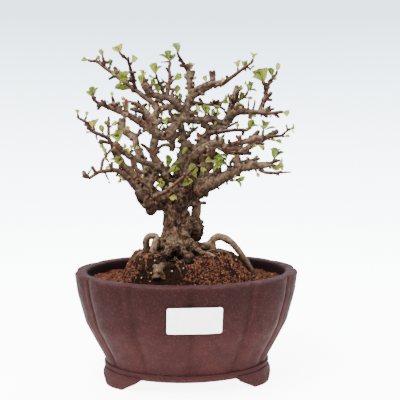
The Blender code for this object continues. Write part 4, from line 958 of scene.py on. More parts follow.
class Planter:
    """Geometry Nodes that set patterns on points or over a surface."""

    def __init__(self) -> None:
        """Builds the two trees."""
        self.scatter = self.build_scatter()
        self.plant = self.build_plant()

    @staticmethod
    def open_tree(name: str, **inputs: str) -> tuple[Graph, dict[str, Socket], Socket]:
        """Starts a geometry tree that takes a geometry, patterns, a material and more.

        Args:
            name: Name of the tree.
            inputs: Name of each further input, and the end of its socket type.

        Returns:
            The graph, its inputs by name, and the patterns as instances.
        """
        tree = bpy.data.node_groups.new(name, "GeometryNodeTree")
        tree.is_modifier = True
        common = {"Geometry": "Geometry", "Patterns": "Collection", "Material": "Material"}
        for socket, kind in (common | inputs).items():
            tree.interface.new_socket(socket, in_out="INPUT", socket_type="NodeSocket" + kind)
        tree.interface.new_socket("Geometry", in_out="OUTPUT", socket_type="NodeSocketGeometry")
        graph = Graph(tree)
        sockets = {socket.name: socket for socket in graph.add("NodeGroupInput").outputs}
        patterns = graph.add("GeometryNodeCollectionInfo", {
            "Collection": sockets["Patterns"], "Separate Children": True, "Reset Children": True})
        return graph, sockets, patterns.outputs[0]

    @staticmethod
    def close_tree(graph: Graph, sockets: dict[str, Socket], instances: Socket) -> NodeTree:
        """Realizes the instances and gives them their material.

        Args:
            graph: The tree's graph.
            sockets: Its inputs by name.
            instances: The patterns in place.

        Returns:
            The tree.
        """
        real = graph.add("GeometryNodeRealizeInstances", {0: instances}).outputs[0]
        dressed = graph.add("GeometryNodeSetMaterial", {"Geometry": real, "Material": sockets["Material"]})
        graph.feed(graph.add("NodeGroupOutput").inputs[0], dressed.outputs[0])
        return graph.tree

    @staticmethod
    def named(graph: Graph, name: object, kind: str) -> Socket:
        """Attribute of a kind, read by its name."""
        return graph.add("GeometryNodeInputNamedAttribute", {"Name": name}, data_type=kind).outputs[0]

    def build_scatter(self) -> NodeTree:
        """Grains strewn over a surface, where a mask on it lets them.

        Returns:
            The tree.
        """
        graph, take, patterns = self.open_tree("strew_grains", Mask="String", Gap="Float", Density="Float",
                                               Smallest="Float", Largest="Float", Seed="Int")
        spots = graph.add("GeometryNodeDistributePointsOnFaces", {
            "Mesh": take["Geometry"], "Distance Min": take["Gap"], "Density Max": take["Density"],
            "Density Factor": self.named(graph, take["Mask"], "FLOAT"), "Seed": take["Seed"],
        }, distribute_method="POISSON")
        turn = graph.add("FunctionNodeRandomValue", {0: (0, 0, 0), 1: (FULL_TURN,) * 3, 8: take["Seed"]},
                         data_type="FLOAT_VECTOR")
        size, tint = (graph.add("FunctionNodeRandomValue", {2: low, 3: high, 8: take["Seed"]},
                                data_type="FLOAT").outputs[1]
                      for low, high in ((take["Smallest"], take["Largest"]), (0.0, 1.0)))
        placed = graph.add("GeometryNodeInstanceOnPoints", {
            "Points": spots.outputs["Points"], "Instance": patterns, "Pick Instance": True,
            "Rotation": turn.outputs[0], "Scale": size})
        kept = graph.add("GeometryNodeStoreNamedAttribute", {
            "Geometry": placed.outputs[0], "Name": "tint", "Value": tint,
        }, data_type="FLOAT", domain="INSTANCE")
        return self.close_tree(graph, take, kept.outputs[0])

    def build_plant(self) -> NodeTree:
        """Patterns set on points by the turn, size and form that each point carries.

        Returns:
            The tree.
        """
        graph, take, patterns = self.open_tree("set_patterns")
        placed = graph.add("GeometryNodeInstanceOnPoints", {
            "Points": take["Geometry"], "Instance": patterns, "Pick Instance": True,
            "Instance Index": self.named(graph, "form", "INT"),
            "Rotation": self.named(graph, "turn", "FLOAT_VECTOR"),
            "Scale": self.named(graph, "size", "FLOAT_VECTOR")})
        return self.close_tree(graph, take, placed.outputs[0])

    @staticmethod
    def run(obj: Object, tree: NodeTree, **values: object) -> None:
        """Runs a tree on an object, and keeps the result as a plain mesh.

        Args:
            obj: What the tree works on.
            tree: The tree.
            values: Its named inputs.
        """
        step = obj.modifiers.new(tree.name, "NODES")
        step.node_group = tree
        for item in tree.interface.items_tree:
            if item.item_type == "SOCKET" and item.in_out == "INPUT" and item.name in values:
                step[item.identifier] = values[item.name]
        bake(obj)

    def set_out(self, name: str, placements: Sequence[Placement], patterns: Collection,
                material: Material) -> Object:
        """One mesh of patterns set at their placements.

        Args:
            name: Name of the piece.
            placements: Where each pattern goes, in millimetres.
            patterns: Collection of the pattern objects, in the order of their forms.
            material: What the piece is made of.

        Returns:
            The piece, as a plain mesh.
        """
        obj = make_object(name, [p.place for p in placements], [])
        store_vector(obj.data, "turn", np.array([tuple(p.turn.to_euler()) for p in placements]))
        store_vector(obj.data, "size", np.array([p.size for p in placements]))
        layer = obj.data.attributes.new("form", "INT", "POINT")
        layer.data.foreach_set("value", np.array([p.form for p in placements], np.int32))
        store(obj.data, "tint", np.array([p.tint for p in placements]))
        self.run(obj, self.plant, Patterns=patterns, Material=material)
        return obj


def pattern_set(name: str, objects: Sequence[Object]) -> Collection:
    """Collection of helper objects that a tree picks from, kept out of the scene.

    Args:
        name: Name of the collection.
        objects: The helpers, in the order of their forms.

    Returns:
        The collection.
    """
    group = bpy.data.collections.new(name)
    for obj in objects:
        bpy.context.scene.collection.objects.unlink(obj)
        group.objects.link(obj)
    return group


def drop_patterns(group: Collection) -> None:
    """Removes the helper objects and their collection.

    Args:
        group: The collection.
    """
    for obj in list(group.objects):
        drop_object(obj)
    bpy.data.collections.remove(group)


# The view that the crown was drawn in


@dataclass(frozen=True)
class Viewpoint:
    """The photograph's eye in the CAD frame; where its axis points and its focal length are in pixels."""

    eye: tuple[float, float, float] = (0.0, -570.0, 202.0)
    turn: float = math.radians(-2.6)
    datum: float = 8.0
    nearest: float = -75.0
    farthest: float = 30.0
    step: float = 0.5
    across: float = 13.5
    down: float = 60.5
    focal: float = 674.0
    frame: float = 400.0
    sensor: float = 36.0

    def turned(self, way: Vector) -> Vector:
        """A vector of the front view in the CAD frame."""
        return Matrix.Rotation(self.turn, 3, "Z") @ way

    def eye_point(self) -> Vector:
        """Where the eye is, in millimetres."""
        return self.turned(Vector(self.eye))

    def place(self, across: float, up: float, depth: float = 0.0) -> Vector:
        """Point at a depth behind the middle plane, on the eye's line through a place in the front view.

        Args:
            across: Millimetres to the right of the middle.
            up: Millimetres over the datum.
            depth: Millimetres behind the middle plane.

        Returns:
            The point, in millimetres.
        """
        eye = Vector(self.eye)
        in_plane = Vector((across, 0.0, up + self.datum))
        return self.turned(eye + (in_plane - eye) * (1 - depth / eye.y))

    def on_ground(self, across: float, up: float, soil: SoilShape, lift: float) -> Vector:
        """Where the soil lies at a place in the front view.

        Args:
            across: Millimetres to the right of the middle.
            up: Millimetres over the datum.
            soil: The soil.
            lift: Millimetres over it.

        Returns:
            The point, in millimetres.
        """
        for depth in np.arange(self.nearest, self.farthest, self.step):
            place = self.place(across, up, depth)
            if place.z - lift <= soil.surface(place.x, place.y):
                break
        return place

    def lean(self, degrees: float, toward: float = 0.0) -> Vector:
        """Unit vector at a lean from vertical in the front view, with a share towards the back."""
        tilt = math.radians(degrees)
        return self.turned(Vector((math.sin(tilt), toward, math.cos(tilt))).normalized())

    def make_camera(self) -> None:
        """Camera at the eye, which becomes the scene's own."""
        data = bpy.data.cameras.new("camera")
        data.sensor_width = self.sensor
        data.lens = self.focal / self.frame * self.sensor
        camera = link(bpy.data.objects.new("camera", data))
        yaw, pitch = math.atan(self.across / self.focal), math.atan(self.down / self.focal)
        ahead = Vector((math.sin(yaw) * math.cos(pitch), math.cos(yaw) * math.cos(pitch), -math.sin(pitch)))
        camera.location = self.eye_point() * MM
        camera.rotation_mode = "QUATERNION"
        camera.rotation_quaternion = self.turned(ahead).to_track_quat("-Z", "Y")
        bpy.context.scene.camera = camera


# The pot, its label and the drain meshes


@dataclass(frozen=True)
class PotShape:
    """Oval pot of the CAD model, lofted more finely: lobed wall, rounded lip, ledge and four cloud feet.

    Rows of wall and inner are height and half-width; rows of lip add the share of the lobes' depth.
    """

    columns: int = 360
    lobes: int = 12
    lobe_depth: float = 2.5
    inset: float = 19.0
    ledge_low: float = 9.5
    ledge_high: float = 15.5
    ledge_width: float = 70.5
    wall: Rows = ((16.5, 69.3), (21.5, 71.0), (34.5, 77.8), (50.0, 85.6), (75.0, 92.0), (90.4, 93.9))
    wall_rows: int = 40
    lip: Rows = ((90.9, 93.85, 1.0), (91.35, 93.6, 1.0), (91.7, 93.15, 1.0), (91.92, 92.5, 1.0),
                 (92.0, 91.6, 0.95), (92.0, 90.0, 0.75), (92.0, 88.4, 0.4), (91.97, 86.9, 0.1),
                 (91.85, 86.1, 0.0), (91.55, 85.4, 0.0), (91.1, 84.9, 0.0), (90.5, 84.5, 0.0))
    inner: Rows = ((88.0, 84.3), (80.0, 83.7), (67.0, 82.6), (27.0, 68.0), (19.0, 62.8), (17.2, 61.6),
                   (17.0, 60.6))
    foot_angles: tuple[int, ...] = (-123, -57, 57, 123)
    foot_half_turn: float = 24.0
    foot_flat: float = 0.40
    foot_flare: float = 4.2
    foot_proud: float = 0.8
    foot_steps: int = 72
    fit: float = 0.9988
    drain_offset: float = 32.0
    drain_radius: float = 6.5
    drain_sides: int = 48

    def oval(self, half_width: float, turns: np.ndarray, bulge: float | np.ndarray = 0.0) -> np.ndarray:
        """Places on the pot's oval: turn 0 is the front, and grows towards +X.

        Args:
            half_width: Half of the oval's width.
            turns: Where on it.
            bulge: How far each place stands out from it.

        Returns:
            Rows of X and Y.
        """
        half_depth = half_width - self.inset
        turns = np.asarray(turns, float)
        place = np.stack([half_width * np.sin(turns), -half_depth * np.cos(turns)], -1)
        outward = np.stack([np.sin(turns) / half_width, -np.cos(turns) / half_depth], -1)
        outward /= np.linalg.norm(outward, axis=-1, keepdims=True)
        return place + outward * np.broadcast_to(bulge, turns.shape)[..., None]

    def lobe_bulge(self, turns: np.ndarray) -> np.ndarray:
        """How far the lobes stand out at each turn."""
        return self.lobe_depth * (1 - (1 - np.abs(np.sin(turns * self.lobes / 2))) ** 2)

    def wall_width(self, z: float | np.ndarray) -> np.ndarray:
        """Half-width of the outer wall at a height."""
        return np.interp(z, *np.array(self.wall).T)

    def inner_width(self, z: float | np.ndarray) -> np.ndarray:
        """Half-width of the inner wall at a height."""
        return np.interp(z, *np.array(sorted(self.inner)).T)

    def ring(self, z: float, half_width: float, lobes: float = 0.0, shrink: float = 1.0) -> np.ndarray:
        """Ring of the pot.

        Args:
            z: Its height.
            half_width: Half of its width.
            lobes: Share of the full lobe depth.
            shrink: Factor on it all.

        Returns:
            Its places, one row each.
        """
        turns = np.arange(self.columns) * FULL_TURN / self.columns
        bulge = lobes * self.lobe_bulge(turns)
        flat = self.fit * self.oval(half_width - 0.6 * self.lobe_depth * lobes, turns, bulge)
        return np.column_stack([flat * shrink, np.full(len(turns), z)])

    def wall_rings(self) -> list[np.ndarray]:
        """Rings of the outer wall, its profile eased through the CAD's rows.

        Returns:
            The rings, from the ledge up.
        """
        low, high = self.wall[0][0], self.wall[-1][0]
        heights = low + (high - low) * np.linspace(0, 1, self.wall_rows) ** 1.15
        fine = np.linspace(low - 4, high + 4, 400)
        window = np.hanning(41)
        eased = np.convolve(self.wall_width(fine), window / window.sum(), "same")
        ends = np.clip(np.minimum(heights - low, high - heights) / 6, 0, 1)
        widths = np.interp(heights, fine, eased) * ends + self.wall_width(heights) * (1 - ends)
        shares = 0.45 + 0.55 * ramp(heights, low, low + 6)
        return [self.ring(*row) for row in zip(heights, widths, shares)]

    def ledge_rings(self) -> list[np.ndarray]:
        """Rings of the underside and the rounded ledge.

        Returns:
            The rings, from the middle outwards.
        """
        low, high, wide = self.ledge_low, self.ledge_high, self.ledge_width
        rings = [self.ring(low, wide - 1.3, shrink=s) for s in (0.03, 0.2, 0.4, 0.6, 0.75, 0.87, 0.95)]
        profile = ((low, -0.9), (low + 0.15, -0.35), (low + 0.6, 0), ((low + high) / 2, 0.3),
                   (high - 0.9, 0.4), (high - 0.3, 0.15), (high, -0.4))
        rings += [self.ring(z, wide + out) for z, out in profile]
        return rings + [self.ring(high + 0.15, wide - 1.0, 0.2)]

    def foot(self, centre: float) -> Object:
        """Cloud foot, splayed in the middle and rising to the ledge at both ends.

        Args:
            centre: Its middle on the oval, in degrees.

        Returns:
            The foot, to be joined to the pot.
        """
        shares = np.linspace(-1, 1, self.foot_steps + 1)
        rise = np.maximum(0, (np.abs(shares) - self.foot_flat) / (1 - self.foot_flat))
        low = self.ledge_low * (1.05 * rise ** 0.8 - 0.22 * np.sin(math.pi * rise) * rise)
        high = self.ledge_low + 2
        turns = np.radians(centre + shares * self.foot_half_turn)
        splay = self.foot_proud + self.foot_flare * np.sqrt(1 - np.abs(shares))
        profile = ((0.0, 0.9, 0.0), (0.0, 0.3, 0.15), (0.05, 0.0, 0.5), (0.25, 0.1, 0), (0.5, 0.2, 0),
                   (0.75, 0.1, 0), (1.0, 0.0, 0))
        sections = []
        for part, inward, lift in profile:
            bulge = splay + (self.foot_proud - splay) * part - inward
            height = low + (high - low) * (part + lift / high)
            sections.append(np.column_stack([self.oval(self.ledge_width, turns, bulge), height]))
        inner = self.oval(self.ledge_width, turns, -14.0)
        sections += [np.column_stack([inner, np.full(len(turns), high)]), np.column_stack([inner, low])]
        faces = grid_faces(len(turns), len(sections), capped=True)
        return closed_object("foot", np.stack(sections, 1).reshape(-1, 3), faces)

    def drain(self, side: int) -> Object:
        """Cutter of a drainage hole.

        Args:
            side: Which hole, as -1 or 1.

        Returns:
            The cutter.
        """
        sides = self.drain_sides
        turns = np.arange(sides) * FULL_TURN / sides
        circle = np.column_stack([side * self.drain_offset + self.drain_radius * np.cos(turns),
                                  self.drain_radius * np.sin(turns)])
        points = np.vstack([np.column_stack([circle, np.full(sides, z)]) for z in (2.0, 30.0)])
        return closed_object("drain", points, grid_faces(2, sides, capped=True))

    def build(self, material: Material) -> Object:
        """The pot in one piece, with its attributes for wear and for painted shade and highlight.

        Args:
            material: The clay.

        Returns:
            The pot.
        """
        rings = self.ledge_rings() + self.wall_rings()
        rings += [self.ring(*row) for row in self.lip + self.inner]
        rings += [self.ring(*self.inner[-1], shrink=s) for s in (0.9, 0.75, 0.6, 0.4, 0.2, 0.03)]
        pot = closed_object("pot_body", np.vstack(rings), grid_faces(len(rings), self.columns, capped=True))
        tools = [(self.foot(angle), "UNION") for angle in self.foot_angles]
        tools += [(self.drain(side), "DIFFERENCE") for side in (-1, 1)]
        for tool, operation in tools:
            step = pot.modifiers.new("cut", "BOOLEAN")
            step.object, step.operation, step.solver = tool, operation, "EXACT"
        bake(pot)
        for tool, _ in tools:
            drop_object(tool)
        self.mark_wear_and_shade(pot.data)
        shade(pot.data)
        pot.data.set_sharp_from_angle(angle=math.radians(38))
        return dress(pot, material, ("pot",))

    def mark_wear_and_shade(self, mesh: Mesh) -> None:
        """Keeps how far each point is inside the rim or down a groove, for painted shade, and on a worn or
        raised edge, for wear and painted highlight.

        Args:
            mesh: The pot's mesh.
        """
        x, y, z = points_of(mesh).T
        wide, inner = self.wall_width(z), self.inner_width(z)
        wave = np.abs(np.sin(np.arctan2(x / wide, -y / (wide - self.inset)) * self.lobes / 2))
        reach = np.hypot(x / (inner + 0.4), y / (inner - self.inset + 0.4))
        wall = ramp(z, 20, 30) * (reach > 1.02)
        outer = ramp(np.abs(x), 45, 70)
        lip = ramp(z, 90.2, 91.2)
        ledge = 0.4 * ramp(np.abs(z - 15.2), 1.2, 0)
        # Painted highlight along the lobes' ridges beside the grooves.
        ridge_highlight = ramp(np.abs(wave - 0.30), 0.16, 0) * wall * outer * (1 - lip)
        # Painted shade: darker the deeper inside the rim.
        store(mesh, "inside", ramp(z, 92.2, 87.2) * (reach < 1.0) * (z > 17.5))
        # Painted shade in the grooves.
        store(mesh, "groove", ramp(wave, 0.24, 0) * wall * (1 - lip) * (1 - 0.6 * outer))
        store(mesh, "worn", np.clip(lip + ledge + 0.9 * ridge_highlight, 0, 1))


@dataclass(frozen=True)
class LabelShape:
    """Blank paper label with rounded corners, wavy over the groove at the pot's front."""

    half_width: float = 21.0
    low: float = 54.5
    high: float = 76.0
    turn: float = math.radians(1.8)
    corner: float = 2.0
    lift: float = 0.42
    thick: float = 0.45
    bridge: float = 1.7
    blend: float = 0.12
    wave: float = 0.12
    columns: int = 72
    rows: int = 36

    def layers(self, pot: PotShape) -> tuple[np.ndarray, np.ndarray]:
        """Under and outer layer of the paper.

        Args:
            pot: The pot that it lies on.

        Returns:
            The places of each layer, row by row.
        """
        sheets = [[], []]
        for z in self.low + (self.high - self.low) * (1 - np.cos(np.linspace(0, math.pi, self.rows))) / 2:
            edge = max(0.0, self.corner - min(z - self.low, self.high - z))
            trim = self.corner - math.sqrt(max(self.corner ** 2 - edge ** 2, 0.0))
            half = float(pot.wall_width(z))
            widest = math.asin((self.half_width - trim) / half)
            turns = self.turn + widest * np.linspace(-1, 1, self.columns)
            past = np.maximum(pot.lobe_bulge(turns) - self.bridge, 0)
            eased = self.bridge + past ** 2 / (past + self.blend)
            wave = self.wave * np.sin(turns * 60 + z * 0.35) * np.sin(z * 0.5 + 1)
            for sheet, out in zip(sheets, (self.lift, self.lift + self.thick)):
                flat = pot.oval(half - 0.6 * pot.lobe_depth, turns, eased + out + np.abs(wave))
                sheet.append(np.column_stack([flat, np.full(self.columns, z)]))
        return np.vstack(sheets[0]), np.vstack(sheets[1])

    def build(self, pot: PotShape, material: Material) -> Object:
        """The label's sheet, closed all round.

        Args:
            pot: The pot that it lies on.
            material: The paper.

        Returns:
            The label.
        """
        size = self.rows * self.columns
        grid = np.arange(size).reshape(self.rows, self.columns)
        rim = [*grid[0], *grid[1:, -1], *grid[-1, -2::-1], *grid[-2:0:-1, 0]]
        under = grid_faces(self.rows, self.columns, wrap=False)
        faces = under + [tuple(size + i for i in face) for face in under]
        faces += [(a, b, b + size, a + size) for a, b in zip(rim, rim[1:] + rim[:1])]
        label = closed_object("blank_label", np.vstack(self.layers(pot)), faces)
        label.data.set_sharp_from_angle(angle=math.radians(40))
        return dress(label, material, ("label",))


# The soil


class GrainKind(Enum):
    """Kinds of grain strewn on the soil; the value starts the names of its piece and its mask."""

    AKADAMA = "akadama"
    COARSE = "coarse_akadama"
    HUMUS = "humus"
    PEBBLE = "pebble"


class GrainLayer(NamedTuple):
    """One kind of grain: how it is strewn, its radius and facets, how many forms, and its finish."""

    kind: GrainKind
    sizes: ScatterSizes
    radius: float
    facets: int
    forms: int
    material: Material


@dataclass(frozen=True)
class SoilShape:
    """Mound of soil in the pot, with its loose grains and the rootlets that creep over it."""

    rim: float = 83.5
    rise: float = 22.5
    centre: tuple[float, float] = (-4.0, 4.0)
    left: float = 54.0
    right: float = 75.0
    depth: float = 60.0
    steep: float = 0.62
    skew: float = 0.12
    settled: float = 0.9
    valley_depth: float = 5.5
    floor_width: float = 61.0
    wall_heights: tuple[float, ...] = (19.0, 27.0, 67.0)
    wall_gap: float = 0.4
    rim_gap: float = 0.35
    columns: int = 180
    rows: int = 58
    seed: int = 7
    rootlets: int = 54
    rootlet_step: float = 1.2

    def height(self, x: float, y: float) -> float:
        """Height of the smooth mound.

        Args:
            x: Place along the pot.
            y: Place towards its back.

        Returns:
            The height in millimetres.
        """
        across = (x - self.centre[0]) / (self.left if x < self.centre[0] else self.right)
        reach = math.hypot(across, (y - self.centre[1]) / self.depth)
        steep = self.steep - self.skew * across / max(reach, MERGE)
        share = unit((1 - reach) / (1 - steep))
        return self.rim + self.rise * share * share * (3 - 2 * share)

    def surface(self, x: float, y: float) -> float:
        """Height of the uneven surface.

        Args:
            x: Place along the pot.
            y: Place towards its back.

        Returns:
            The height in millimetres.
        """
        broad = noise.noise(Vector((x / 9, y / 9, 1.7))) * 1.5
        clods = broad + noise.noise(Vector((x / 3.4, y / 3.4, 5.1))) * 0.7
        hollow = self.height(x, y) - self.settled + clods - self.valley_depth * self.valley(x, y)
        return hollow + self.heaps(x, y)

    @staticmethod
    def valley(x: float, y: float) -> float:
        """Share of the hollow that runs out to the front from under the trunk."""
        return math.exp(-((x + 10 - y * 0.05) / 8.5) ** 2) * unit((-13 - y) / 8) * unit((y + 62) / 14)

    @staticmethod
    def heaps(x: float, y: float) -> float:
        """Height of the loose soil heaped on either side of that hollow, in millimetres."""
        left = 2.2 * math.exp(-((x + 33) / 12) ** 2 - ((y + 22) / 12) ** 2)
        return left + 2.4 * math.exp(-((x - 24) / 16) ** 2 - ((y + 12) / 9) ** 2)

    def build_bed(self, pot: PotShape, material: Material) -> Object:
        """The closed body of soil, with a mask on it for each kind of grain.

        Args:
            pot: The pot that it fills.
            material: What shows between the grains.

        Returns:
            The body.
        """
        turns = np.arange(self.columns) * FULL_TURN / self.columns
        middle = pot.oval(self.floor_width, turns) * 0.02
        rings = [np.column_stack([middle, np.full(self.columns, self.wall_heights[0])])]
        for z in (*self.wall_heights, self.rim - 2.0):
            wall = pot.oval(pot.inner_width(z) - self.wall_gap, turns)
            rings.append(np.column_stack([wall, np.full(self.columns, z)]))
        hidden = len(rings) * self.columns
        edge = pot.oval(pot.inner_width(self.rim) - self.rim_gap, turns)
        for step in range(self.rows):
            rings.append([(x, y, self.surface(x, y)) for x, y in edge * (1 - step / self.rows)])
        faces = grid_faces(len(rings), self.columns, capped=True)
        bed = closed_object("soil_bed", np.vstack(rings), faces)
        self.mark_kinds(bed.data, hidden)
        return dress(bed, material, ("soil",))

    def mark_kinds(self, mesh: Mesh, hidden: int) -> None:
        """Keeps where each kind of grain lies.

        Args:
            mesh: The bed's mesh.
            hidden: How many of its first points lie against the pot, where there are no grains.
        """
        x, y, _ = points_of(mesh).T
        top = (np.arange(len(x)) >= hidden).astype(float)
        dark = np.array([noise.noise(Vector((a / 6, b / 6, 9.3))) for a, b in zip(x, y)])
        valley = 2.6 * np.array([self.valley(a, b) for a, b in zip(x, y)])
        patch = 2.2 * np.clip(1.2 - np.hypot((x + 30) / 22, (y + 34) / 26), 0, 1)
        foot = 2.2 * np.clip(1.25 - np.hypot((x - 3) / 52, (y - 4) / 39), 0, 1)
        humus = np.clip(np.maximum(np.maximum(patch, foot), valley) + dark * 1.9 - 0.45, 0, 1)
        masks = {GrainKind.AKADAMA: np.clip(1.1 - humus * 1.1, 0.03, 1),
                 GrainKind.COARSE: np.clip(0.7 - humus * 0.5 - valley, 0.04, 1),
                 GrainKind.HUMUS: np.clip(humus, 0.02, 1), GrainKind.PEBBLE: 0.35 + 0.65 * humus}
        for kind, mask in masks.items():
            store(mesh, f"{kind.value}_mask", top * mask)

    @staticmethod
    def grain(name: str, radius: float, facets: int, draw: random.Random) -> Object:
        """A rough angular grain.

        Args:
            name: Name of the helper.
            radius: Its radius in millimetres.
            facets: How often its faces are split.
            draw: Source of its unevenness.

        Returns:
            The helper.
        """
        bm = bmesh.new()
        bmesh.ops.create_icosphere(bm, subdivisions=facets, radius=1)
        points = np.array([v.co * (1 + draw.uniform(-0.2, 0.16)) for v in bm.verts])
        faces = [tuple(v.index for v in f.verts) for f in bm.faces]
        bm.free()
        points = points * radius * np.array([1, draw.uniform(0.75, 1), 0.8])
        return make_object(name, points, faces, facets > 1)

    def strew(self, bed: Object, planter: Planter, layer: GrainLayer, draw: random.Random) -> None:
        """Strews one kind of grain over the bed, as one piece.

        Args:
            bed: The soil's body, whose masks say where each kind lies.
            planter: Holder of the geometry trees.
            layer: The kind, and how it is strewn.
            draw: Source of the grains' unevenness.
        """
        kind, sizes = layer.kind.value, layer.sizes
        patterns = [self.grain(f"{kind}_{i}", layer.radius, layer.facets, draw) for i in range(layer.forms)]
        group = pattern_set(f"{kind}_patterns", patterns)
        grains = link(bpy.data.objects.new(f"{kind}_grains", bed.data.copy()))
        grains.data.name = grains.name
        gap = sizes.gap * MM
        planter.run(grains, planter.scatter, Patterns=group, Mask=f"{kind}_mask", Gap=gap,
                    Density=2.2 / gap ** 2, Smallest=sizes.smallest, Largest=sizes.largest, Seed=sizes.seed,
                    Material=layer.material)
        drop_patterns(group)
        report(grains)

    def build_grains(self, bed: Object, planter: Planter, palette: Palette) -> None:
        """Akadama in two sizes, humus crumbs and a few pale pebbles.

        Args:
            bed: The soil's body.
            planter: Holder of the geometry trees.
            palette: The finishes.
        """
        draw = random.Random(self.seed)
        layers = (
            GrainLayer(GrainKind.AKADAMA, ScatterSizes(1.3, 0.7, 1.15, 3), 1.0, 1, 5, palette.akadama),
            GrainLayer(GrainKind.COARSE, ScatterSizes(3.2, 0.8, 1.2, 5), 1.2, 2, 4, palette.akadama),
            GrainLayer(GrainKind.HUMUS, ScatterSizes(1.1, 0.45, 1.25, 8), 0.9, 1, 5, palette.humus),
            GrainLayer(GrainKind.PEBBLE, ScatterSizes(6.2, 0.3, 1.15, 13), 0.95, 2, 4, palette.pebble),
        )
        for layer in layers:
            self.strew(bed, planter, layer, draw)

    def build_rootlets(self, material: Material) -> None:
        """Fine rootlets that creep out over the soil from the foot of the trunk.

        Args:
            material: What they are made of.
        """
        draw = random.Random(self.seed + 1)
        shells = Shells()
        for _ in range(self.rootlets):
            turn = draw.uniform(0, FULL_TURN)
            reach = draw.uniform(12, 34)
            x, y = -2 + reach * math.cos(turn), 2 + 0.7 * reach * math.sin(turn)
            heading = turn + draw.uniform(-1.1, 1.1)
            radius = draw.uniform(0.12, 0.32)
            steps = draw.randint(12, 30)
            rise = draw.uniform(0.2, 2.2)
            line = []
            for step in range(steps):
                heading += draw.gauss(0, 0.24)
                x, y = x + self.rootlet_step * math.cos(heading), y + self.rootlet_step * math.sin(heading)
                lift = 0.4 + rise * math.sin(math.pi * step / (steps - 1)) ** 2
                if math.hypot(x / 79, y / 60) > 1:
                    break
                line.append(Vector((x, y, self.surface(x, y) + lift)))
            if len(line) > 4:
                shells.tube(line, [radius * (1 - 0.6 * i / len(line)) for i in range(len(line))])
        dress(shells.build("rootlets"), material)


# The wood


# Old roots, and buttresses and stubs of the trunk's foot: across and up in the front view, radius, depth
OLD_ROOTS = (
    ((-13, 104, 4, -6), (-19, 106, 3.2, -7), (-23.5, 109.5, 2.5, -7), (-27.5, 111.9, 2.2, -6),
     (-31.5, 111.9, 2.2, -5), (-34.2, 109, 2.2, -4.6), (-34.9, 104.5, 2.1, -4), (-34.2, 99, 2.1, -3.5),
     (-33.3, 92, 1.9, -3), (-33, 84, 1.6, -2)),
    ((-23.5, 110, 2.3, -7), (-26.2, 108, 2.3, -10), (-27.8, 103.5, 2.3, -13), (-28.6, 98, 2.3, -15),
     (-28.4, 92, 2.2, -16), (-28, 84, 1.8, -16)),
    ((2, 101, 5.5, -6), (10, 102.5, 4.2, -6), (16.5, 103.6, 3.2, -5.5), (20.5, 105.8, 2.9, -5.5),
     (23, 109, 2.6, -5.5), (26.5, 111.1, 2.6, -5.6), (30.5, 110.8, 2.5, -5.8), (35, 108.6, 2.4, -6.2),
     (39, 105.6, 2.2, -6.6), (43.2, 101, 2.1, -7), (47, 96, 2.0, -7.5), (50.5, 91, 1.8, -8),
     (54.8, 84, 1.6, -8.6), (57, 79, 1.4, -9)),
    ((22.2, 107.5, 2.7, -6), (22.8, 103, 2.7, -6.5), (22.4, 98, 2.4, -7), (22, 90, 2, -7)),
    ((-21.5, 104, 3, 2), (-20, 104, 4.2, -6), (-15, 103.4, 5.2, -12), (-9, 103.2, 5.6, -14.5),
     (-3, 104, 4.8, -12.5), (3, 104.6, 4, -8.5), (10, 104.4, 3.2, -6.5), (17, 103.8, 2.8, -6)),
    ((-17, 122, 2.4, -4), (-17.8, 116, 3.2, -4.5), (-18.4, 110.5, 4.4, -5.5), (-18.6, 105, 5.2, -6.5)),
    ((-10, 119, 3.4, -7), (-10.5, 113, 4.8, -8.5), (-11, 107.5, 6.4, -10), (-11, 103.5, 5.6, -12)),
    ((-3, 121, 2.6, -5), (-2.2, 115, 3.8, -6), (-0.6, 109.5, 5, -7.5), (2.5, 105, 5, -8)),
    ((-22, 105, 4, 2), (-19, 104.5, 6, 9), (-10, 104.5, 7, 13), (0, 104.5, 6, 10), (6, 104, 4, 4)),
    ((0, 134, 3.4, -1), (-0.4, 127, 3.8, -1), (0, 120, 4.6, -2), (0.4, 114, 4.6, -3)),
    ((-3, 140.5, 3.4, 0), (3, 139.6, 3.4, 3), (8, 140.5, 3, 6)),
    ((-3, 126.6, 3, 0), (3, 126.4, 3.2, 3), (8, 126.4, 3, 7)),
    ((6.4, 128.5, 4.4, 8), (7, 122, 6.8, 8), (7.4, 116, 7.2, 8), (7.3, 111, 6.2, 8), (7, 107.5, 4, 7)),
    ((10, 123, 2.5, 7), (13.4, 123.8, 1.7, 7), (14.6, 124.2, 0.8, 7)),
    ((10, 119, 2.5, 7), (14.4, 120, 1.7, 7), (15.6, 120.2, 0.8, 7)),
)

